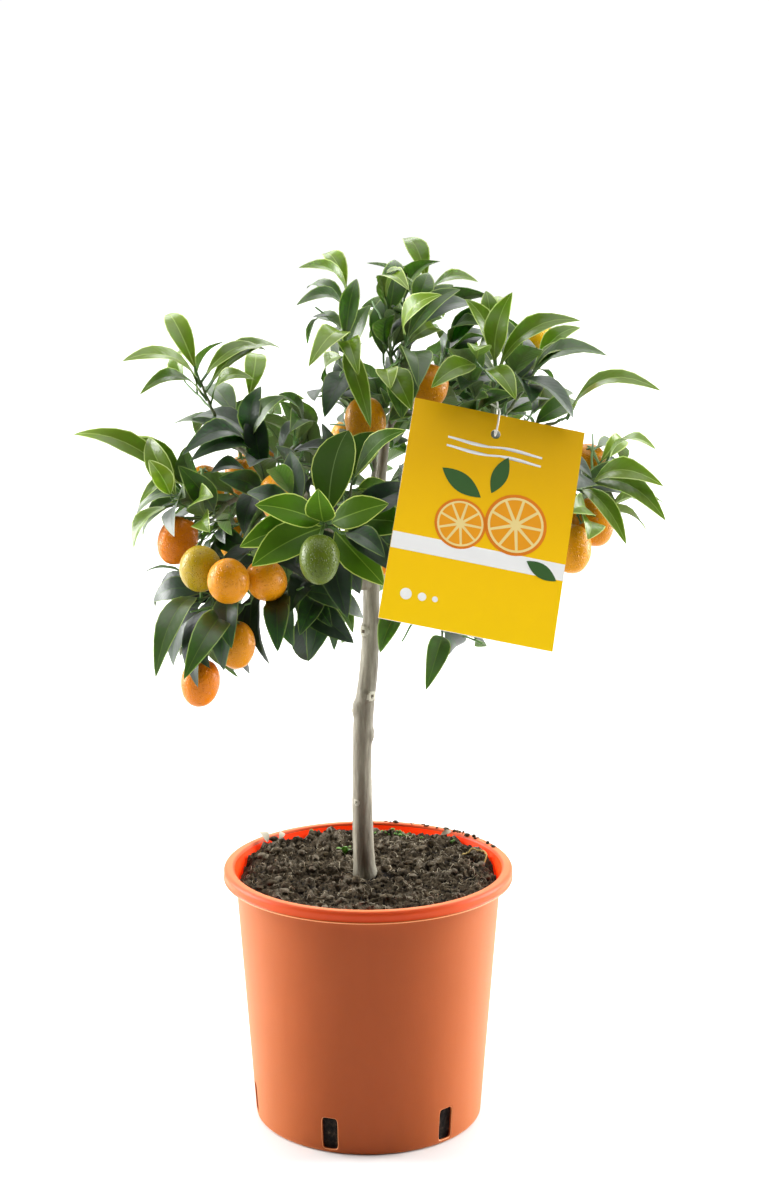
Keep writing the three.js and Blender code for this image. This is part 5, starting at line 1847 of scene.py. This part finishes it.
def soil_mesh():
    turns = np.arange(SOIL_SIDES) * WHOLE_TURN / SOIL_SIDES
    points = [(0, 0, SOIL_FOOT)]
    for share in SIDE_SHARES:
        height = mix(SOIL_FOOT, SOIL_SHOULDER, share)
        for turn in turns:
            reach = mix(SOIL_FOOT_RADIUS, SOIL_EDGE, share) - pit(turn, height)
            points.append((reach * cos(turn), reach * sin(turn), height))
    for ring in range(SOIL_RINGS):
        radius = SOIL_EDGE * (1 - ring / SOIL_RINGS)
        for turn in turns:
            x, y = radius * cos(turn), radius * sin(turn)
            points.append((x, y, soil_height(x, y)))
    points.append((0, 0, soil_height(0, 0)))
    rows = len(SIDE_SHARES) + SOIL_RINGS
    last = 1 + (rows - 1) * SOIL_SIDES
    faces = shifted(grid_faces(rows, SOIL_SIDES), 1) + fan(1, SOIL_SIDES, 0)
    return points, faces + flipped(fan(last, SOIL_SIDES, len(points) - 1))


soil_points, soil_faces = soil_mesh()
print("faces of the peat:", len(soil_faces))

# %% [markdown]
# ## Dry peat, painted shade and painted light
# Peat is grey-brown where it has dried. One noise could blend its colours all over the bed. Here
# each face takes one of four finishes by its height: the plug's sides below the bed and the hollows
# between clods are painted nearly black as shade, and the tops of the clods are lighter, partly as
# dry peat and partly as painted light.

# %% Finishes of peat
CRUMBLY = (900, 8, 0.75)
peat = grained("peat", (0.08, 0.06, 0.04), 0.95, 0.1, (210, 8, 0.7), [
    (0.3, (0.018, 0.013, 0.007)), (0.47, (0.056, 0.042, 0.026)),
    (0.6, (0.125, 0.098, 0.062)), (0.76, (0.27, 0.222, 0.15)),
], (CRUMBLY, 0.0016, 0.9))
# Painted shade: the plug's sides, which lie deep behind the wall and the slots.
shaded_side_peat = grained("shaded_side_peat", (0.01, 0.007, 0.005), 0.8, 0.25, (260, 7, 0.75), [
    (0.44, (0.004, 0.003, 0.003)), (0.58, (0.026, 0.019, 0.012)), (0.74, (0.15, 0.12, 0.07)),
], ((700, 6, 0.7), 0.0012, 0.8))
# Painted shade: the hollows between clods.
crevice_shade_peat = grained("crevice_shade_peat", (0.014, 0.01, 0.007), 0.85, 0.2, (), (), (CRUMBLY, 0.0014, 0.9))
# The clod tops: dry peat, and painted light as well.
dry_and_lit_peat = grained("dry_and_lit_peat", (0.2, 0.16, 0.11), 0.95, 0.15, (330, 8, 0.7), [
    (0.3, (0.055, 0.043, 0.03)), (0.5, (0.145, 0.12, 0.085)), (0.72, (0.33, 0.285, 0.215)),
], (CRUMBLY, 0.0016, 0.9))
PEAT, SHADED_SIDE, CREVICE_SHADE, DRY_AND_LIT = range(4)


# Below 150 mm lie the plug's sides, in painted shade; low places between clods get painted shade
# too, and clod tops are dry peat with painted light.
def peat_pick(place):
    if place[2] < 150:
        return SHADED_SIDE
    height = clods(place[0], place[1]) + 1.2 * noise.noise(Vector(place) * 0.7)
    return CREVICE_SHADE if height < 0.4 else DRY_AND_LIT if height > 3.4 else PEAT


soil_picks = [peat_pick(soil_points[face[0]]) for face in soil_faces]
make_piece("peat_bed", soil_points, soil_faces, [peat, shaded_side_peat, crevice_shade_peat, dry_and_lit_peat], soil_picks,
           slot="soil", stands_for=["soil"], crease=28)

# %% [markdown]
# ## Crumbs and fibres
# Loose crumbs, most of them tiny, lie on the bed, and thin pale root fibres stick out between
# them. Particles would vanish in an export, so each crumb is a small ball that noise knocks out
# of shape. All are joined into one piece, and the names below number its finishes.

# %% One crumb
CRUMB, PALE_CRUMB, FIBRE, MOSS, SPROUT, DRY_LEAF, ROOT = range(7)
crumb_light = grained("peat_crumb", (0.095, 0.072, 0.048), 0.95, 0.15, (420, 5, 0.7), [
    (0.3, (0.04, 0.03, 0.02)), (0.7, (0.23, 0.195, 0.14)),
])
fibre_finish = new_finish("root_fibre", (0.46, 0.4, 0.29), 0.85, gloss=0.2)


def crumb_shape():
    ball = bmesh.new()
    bmesh.ops.create_icosphere(ball, subdivisions=2, radius=1)
    points = np.array([tuple(corner.co) for corner in ball.verts])
    faces = [tuple(corner.index for corner in face.verts) for face in ball.faces]
    ball.free()
    return points, faces


BALL_POINTS, BALL_FACES = crumb_shape()
print("faces of a crumb:", len(BALL_FACES))


def add_crumb(parts, place, size, draw, pick):
    shift = vec(draw(), draw(), draw()) * 50
    rough = np.array([1 + 0.42 * noise.noise(Vector(point * 1.3 + shift)) for point in BALL_POINTS])
    squeeze = vec(mix(0.7, 1.3, draw()), mix(0.7, 1.3, draw()), mix(0.5, 0.9, draw()))
    parts.add(BALL_POINTS * rough[:, None] * squeeze * size + place, BALL_FACES, pick)


# %% Crumbs on the bed and on the rim
CRUMBS, RIM_CRUMBS, FIBRES, MOSS_TUFTS = 1500, 46, 220, 60
peat_draw = seeded(SEED + 21)
crumbs = Parts()


def round_place(turn, reach):
    return reach * cos(turn), reach * sin(turn)


for _ in range(CRUMBS):
    turn, reach = peat_draw() * WHOLE_TURN, SOIL_EDGE * 0.965 * sqrt(peat_draw())
    if reach < 10:
        continue
    x, y = round_place(turn, reach)
    size = 0.4 + 3.0 * peat_draw() ** 4
    if noise.noise(Vector((x, y, 9)) / 13) < -0.05:  # crumbs lie in patches
        continue
    add_crumb(crumbs, vec(x, y, soil_height(x, y) + size * 0.35), size, peat_draw,
              CRUMB if peat_draw() < 0.7 else PALE_CRUMB)
for _ in range(RIM_CRUMBS):
    turn = radians(mix(20, 92, peat_draw()))
    reach = mix(93.4, 98, peat_draw())
    size = mix(0.35, 1.9, peat_draw() ** 2.2)
    place = vec(*round_place(turn, reach), POT["height"] - 0.1 + size * 0.4)
    add_crumb(crumbs, place, size, peat_draw, CRUMB)
print("crumbs:", len(crumbs.points))

# %% Fibres
for _ in range(FIBRES):
    turn, reach = peat_draw() * WHOLE_TURN, SOIL_EDGE * 0.93 * sqrt(peat_draw())
    if reach < 12:
        continue
    x, y = round_place(turn, reach)
    way, span = peat_draw() * WHOLE_TURN, mix(3, 9, peat_draw())
    curl = mix(-0.9, 0.9, peat_draw())
    line = []
    for step in range(6):
        swing = way + curl * step
        x, y = x + cos(swing) * span / 5, y + sin(swing) * span / 5
        if hypot(x, y) > SOIL_EDGE * 0.96:
            break
        line.append((x, y, soil_height(x, y) + 0.6 + 0.9 * sin(step * 0.63)))
    if len(line) > 2:
        crumbs.add(*tube(np.array(line), np.linspace(0.22, 0.12, len(line)), 4), FIBRE)
print("crumbs and fibres:", len(crumbs.points))

# %% [markdown]
# ## What grows and lies on the peat
# A sprout, tufts of moss, three dry leaves and the arc of a pale root lie on the bed. They are
# too small to model one by one, so they reuse a plain blade, the crumb and the tube.

# %% Finishes, and a small blade
moss_finish = new_finish("moss", (0.12, 0.24, 0.06), 0.8, gloss=0.2)
sprout_finish = new_finish("sprout", (0.11, 0.26, 0.02), 0.5, gloss=0.4)
dry_leaf_finish = new_finish("dry_leaf", (0.44, 0.4, 0.31), 0.7, gloss=0.2)
root_finish = new_finish("pale_root", (0.48, 0.36, 0.11), 0.7, gloss=0.3)


def small_blade(base, along, towards, length, slim):
    """A little leaf, folded along its middle; slim is its width's share of its length."""
    frame = leaf_frame(base, unit(along), towards, length)
    points = []
    for share in np.linspace(0, 1, 7):
        half = length * slim / 2 * sin(pi * mix(0.04, 0.97, share)) ** 0.8
        arch = 0.7 * length * share * (1 - share)
        for across in (-1, 0, 1):
            points.append(base + frame["along"] * length * share + frame["side"] * half * across
                          + frame["face"] * (arch + 0.25 * half * abs(across)))
    upper = grid_faces(7, 3, closed=False)
    lower = flipped(shifted(upper, len(points)))
    points += [place - frame["face"] * 0.15 for place in points]
    return np.array(points), upper + lower


def on_peat(x, y, over):
    return vec(x, y, soil_height(x, y) + over)


# %% Sprout, moss, dry leaves and root
sprout_foot = on_peat(-17, 35, 0)
for turn, rise, length in ((200, 40, 8), (320, 50, 9), (80, 35, 7), (255, 70, 6.5), (20, 30, 6)):
    crumbs.add(*small_blade(sprout_foot + UP * 1.2, heading(turn, rise), UP, length, 0.62), SPROUT)
crumbs.add(*tube([sprout_foot - UP, sprout_foot + UP * 1.5], [0.5, 0.4], 6), SPROUT)
MOSS_SPOTS = ((26, 70), (-48, 76), (70, 62), (16, 80))
for _ in range(MOSS_TUFTS):
    spot = MOSS_SPOTS[int(peat_draw() * len(MOSS_SPOTS))]
    x, y = spot[0] + mix(-14, 14, peat_draw()), spot[1] + mix(-5, 5, peat_draw())
    if hypot(x, y) < SOIL_EDGE * 0.96:
        add_crumb(crumbs, on_peat(x, y, 0.5), mix(0.5, 1.6, peat_draw()), peat_draw, MOSS)
for x, y, turn, length in ((-72, 46, 115, 15), (-64, 55, 80, 10), (52, 66, 20, 8)):
    blade = small_blade(on_peat(x, y, 1), heading(turn, 12), heading(-60, 40), length, 0.45)
    crumbs.add(*blade, DRY_LEAF)
root_line = []
for share in np.linspace(0, 1, 25):
    turn = radians(mix(-40, 152, share))
    root_line.append(on_peat(74 + 9 * cos(turn), 24 + 7 * sin(turn), 1.2 + 1.5 * sin(share * pi)))
crumbs.add(*tube(np.array(root_line), 0.55, 8), ROOT)
crumbs.piece("peat_crumbs", [peat, crumb_light, fibre_finish, moss_finish, sprout_finish,
                             dry_leaf_finish, root_finish], slot="soil")

# %% [markdown]
# ## The plant card
# A stiff plastic card with a hole hangs from a shoot by a thin tie. A plane with a boolean hole
# would do, but rings that grow from the hole's circle to the card's rectangle give clean faces.

# %% The card's outline
HOLE_MIDDLE = (CARD["hole_aside"], CARD["height"] / 2 - CARD["hole_drop"])


def card_place(x, z, out):
    return CARD_TURN @ vec(x, -out, z) + CARD_MIDDLE


def rectangle_edge(steps):
    half_wide, half_high = CARD["width"] / 2, CARD["height"] / 2
    corners = [atan2(z * half_high, x * half_wide) for x in (1, -1) for z in (1, -1)]
    even = np.linspace(-pi, pi, steps, endpoint=False)
    turns = sorted(set(np.round(np.concatenate([even, corners]), 5)))
    edge = []
    for turn in turns:
        x, z = cos(turn), sin(turn)
        grow = min(half_wide / max(abs(x), 1e-9), half_high / max(abs(z), 1e-9))
        edge.append((x * grow, z * grow))
    return edge


print("points round the card:", len(rectangle_edge(72)))


# %% The card's sheet
def card_mesh():
    edge = np.array(rectangle_edge(72))
    way = edge - HOLE_MIDDLE
    hole = HOLE_MIDDLE + CARD["hole_radius"] * way / norm(way, axis=1)[:, None]
    sides, rings = len(edge), 12
    points, uv = [], []
    for face in (1, -1):
        for ring in range(rings):
            for x, z in mix(hole, edge, (ring / (rings - 1)) ** 1.3):
                points.append(card_place(x, z, face * CARD["thickness"] / 2))
                uv.append((x / CARD["width"] + 0.5, z / CARD["height"] + 0.5))
    back, rim = rings * sides, (rings - 1) * sides
    sheet = grid_faces(rings, sides)
    faces = flipped(sheet) + shifted(sheet, back)
    for side in range(sides):
        after = (side + 1) % sides
        faces.append((rim + side, back + rim + side, back + rim + after, rim + after))
        faces.append((side, after, back + after, back + side))
    picks = [AMBER] * len(sheet) + [WHITE] * (len(faces) - len(sheet))
    return points, faces, picks, uv


AMBER, WHITE = range(2)
card_points, card_faces, card_picks, card_uvs = card_mesh()
print("faces of the card:", len(card_faces))

# %% Card finishes
card_front = new_finish("card_amber", (0.9, 0.5, 0.001), 0.42, gloss=0.25)
card_uv = node(card_front, "ShaderNodeTexCoord")
card_split = node(card_front, "ShaderNodeSeparateXYZ", [("Vector", card_uv.outputs["UV"])])
# The amber darkens towards the card's top: partly its printed gradient, partly painted shade.
colour_by(card_front, card_split.outputs["Y"], [
    (0.0, (1.0, 0.64, 0.001)), (0.35, (1.0, 0.6, 0.001)), (0.75, (0.84, 0.47, 0.001)),
    (1.0, (0.75, 0.42, 0.001)),
])
bumped(card_front, (grain(card_front, 40, 2), 0.0008, 0.15))
card_back = new_finish("card_white", (0.82, 0.8, 0.74), 0.4, gloss=0.5)
make_piece("plant_card", card_points, card_faces, [card_front, card_back], card_picks,
           slot="card", stands_for=["tag"], uv=card_uvs)


# %% [markdown]
# ## The card's print
# The print is generic: two fine lines, slices of fruit with leaves, a white band and three dots.
# Print is usually an image on the sheet. Here it is cut out as very thin flat shapes that lie on
# the card in layers, so every edge stays sharp however near the camera comes.

# %% One printed shape
PRINT_DEPTH = 0.06


def add_print(parts, outline, level, pick):
    """One flat shape that lies on the card; its outline is in the card's millimetres."""
    outline = np.asarray(outline, dtype=float)
    middle = outline.mean(axis=0)
    sides, rings = len(outline), 7
    out = CARD["thickness"] / 2 + PRINT_DEPTH * level
    points = []
    for ring in range(rings):
        for x, z in middle + (outline - middle) * (ring + 1) / rings:
            points.append(card_place(x, z, out))
    points += [card_place(x, z, out - PRINT_DEPTH * 0.9) for x, z in outline]
    points += [card_place(*middle, out), card_place(*middle, out - PRINT_DEPTH * 0.9)]
    faces = flipped(grid_faces(rings + 1, sides) + fan(0, sides, len(points) - 2))
    parts.add(points, faces + fan(rings * sides, sides, len(points) - 1), pick)


# %% Outlines of the print
def disc(x, z, radius, steps=40):
    turns = np.arange(steps) * WHOLE_TURN / steps
    return np.stack([x + radius * np.cos(turns), z + radius * np.sin(turns)], axis=-1)


def wedge(x, z, inner, outer, start, stop):
    """One segment of a fruit slice."""
    middle = (start + stop) / 2
    return arc_points((x, z), outer, start, stop, 9) + arc_points((x, z), inner, middle, middle, 1)


def leaf_print(x, z, length, width, turn):
    """A pointed leaf that runs from its stalk at x and z."""
    turn = radians(turn)
    shape = []
    for side in (1, -1):
        for share in np.linspace(0, 1, 12)[:-1]:
            share = share if side == 1 else 1 - share
            across = side * width / 2 * sin(pi * share) ** 0.9
            shape.append((x + length * share * cos(turn) - across * sin(turn),
                          z + length * share * sin(turn) + across * cos(turn)))
    return shape


def strip(half, low, high, wave, steps):
    """A strip across the card that may wave up and down."""
    spots = np.linspace(-half, half, steps)
    return [(x, edge + wave * sin(x / 7))
            for edge, way in ((low, 1), (high, -1)) for x in spots[::way]]


print("points of a segment:", len(wedge(0, 0, 1, 5, 0, 40)))

# %% The printed pattern
PRINT_WHITE, PRINT_RIND, PRINT_PITH, PRINT_FLESH, PRINT_LEAF = range(5)
SEGMENTS = 9  # of a slice
print_parts = Parts()
add_print(print_parts, strip(CARD["width"] / 2 - 0.15, -26.0, -15.5, 0, 20), 1, PRINT_WHITE)
for x, z, size in ((20, 3, 19.5), (-14, -3, 16)):
    add_print(print_parts, disc(x, z, size), 2, PRINT_RIND)
    add_print(print_parts, disc(x, z, size * 0.9), 3, PRINT_PITH)
    for part in range(SEGMENTS):
        start, stop = (360 / SEGMENTS * part + turn for turn in (3, 37))
        add_print(print_parts, wedge(x, z, size * 0.16, size * 0.82, start, stop), 4, PRINT_FLESH)
add_print(print_parts, leaf_print(-4, 16, 30, 12, 152), 2, PRINT_LEAF)
add_print(print_parts, leaf_print(2, 20, 26, 10, 74), 2, PRINT_LEAF)
add_print(print_parts, leaf_print(30, -18, 22, 9, -24), 3, PRINT_LEAF)
for x, size in ((-40, 3.6), (-30, 2.6), (-22, 1.8)):
    add_print(print_parts, disc(x, -53, size, 24), 1, PRINT_WHITE)
for low in (49, 43.5):
    add_print(print_parts, strip(30, low, low + 1.3, 0.9, 24), 1, PRINT_WHITE)
INKS = dict(white=(0.95, 0.95, 0.93), rind=(0.8, 0.22, 0.01), pith=(0.93, 0.74, 0.3),
            flesh=(0.9, 0.36, 0.012), leaf=(0.045, 0.12, 0.03))
inks = [new_finish("print_" + name, colour, 0.34) for name, colour in INKS.items()]
print_parts.piece("card_print", inks, slot="card")

# %% [markdown]
# ## The tie
# The tie is a thin strand through the hole, over the card's edge and round the shoot. A curve with
# a bevel would do. Its line was laid before the leaves grew, and here it gets its round section.

# %% A strand along the tie's line
TIE_ROWS = 160
tie_finish = grained("tie_strand", (0.78, 0.76, 0.7), 0.3, 0.5, (), (), ((1500, 2), 0.0001, 0.3))
tie_line = smooth_points(TIE_STATIONS, np.arange(TIE_ROWS) / TIE_ROWS, closed=True)
tie_points, tie_faces = tube(tie_line, TIE["radius"], 10, closed=True)
make_piece("card_tie", tie_points, tie_faces, [tie_finish], slot="tie", stands_for=["tag_tie"])

# %% [markdown]
# ## Floor, light and camera
# The plant stands on a plain pale floor, with a large soft box on each side and a bright room
# behind. Sun and sky would cast a hard shadow. Little light comes from the front, so the pot's
# middle is darker than its sides. The camera looks slightly down through a long lens.

# %% Floor
FLOOR_RADIUS, FLOOR_SIDES = 7000, 96
floor_finish = new_finish("studio_floor", (0.76, 0.76, 0.76), 0.9, gloss=0.1)
floor_points = [(*place, 0) for place in disc(0, 0, FLOOR_RADIUS, FLOOR_SIDES)]
floor = make_piece("studio_floor", floor_points, [tuple(range(FLOOR_SIDES))], [floor_finish])
floor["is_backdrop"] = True


# %% Light
def soft_box(name, place, aim, size, power):
    data = bpy.data.lights.new(name, "AREA")
    data.shape, data.size, data.size_y, data.energy = "RECTANGLE", size[0], size[1], power
    box = in_scene(name, data)
    box.location = place
    box.rotation_euler = (Vector(aim) - Vector(place)).to_track_quat("-Z", "Z").to_euler()
    print(name, power, "W")


CROWN = (0, 0, 0.4)
soft_box("soft_box_left", (-2.8, 0.85, 0.9), CROWN, (2.4, 1.7), 225)
soft_box("soft_box_right", (2.8, 0.85, 0.9), CROWN, (2.4, 1.7), 225)
soft_box("soft_box_top", (0, -0.3, 3.3), CROWN, (2.6, 2.6), 62)
soft_box("soft_box_back", (0, 4.4, 3.4), (0, 5.0, 0), (7, 5), 420)


# %% A bright room that is dimmer towards the front
room = bpy.data.worlds.new("studio")
room.use_nodes = True
split = node(room, "ShaderNodeSeparateXYZ",
             [("Vector", node(room, "ShaderNodeTexCoord").outputs["Generated"])])
shade = node(room, "ShaderNodeMapRange", [("Value", split.outputs["Y"])],
             interpolation_type="SMOOTHSTEP", From_Min=-0.75, From_Max=0.35, To_Min=0.02,
             To_Max=1.03)
background = room.node_tree.nodes["Background"]
background.inputs["Color"].default_value = hue(1, 1, 1)
room.node_tree.links.new(shade.outputs["Result"], background.inputs["Strength"])
bpy.context.scene.world = room
bpy.context.scene.view_settings.view_transform = "Standard"
print("the room's shade:", shade.interpolation_type)

# %% Camera
LENS_MM, SENSOR_MM, TILT = 69, 36, 77.91
lens = bpy.data.cameras.new("camera")
lens.lens, lens.sensor_width = LENS_MM, SENSOR_MM
camera = in_scene("camera", lens)
camera.location = EYE * MM
camera.rotation_euler = (radians(TILT), 0, 0)
bpy.context.scene.camera = camera
print("camera at", camera.location[:])

# %% [markdown]
# ## Sizes
# The dressed plant's box is measured and put beside the box of its solids, which shows whether
# the two agree.

# %% Sizes
low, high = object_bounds()
print("dressed box in metres:", [round(side, 3) for side in (high - low)])
({
    "cad": [list(map(float, CAD_LOW)), list(map(float, CAD_HIGH))],
    "visual": [list(map(float, low)), list(map(float, high))],
})
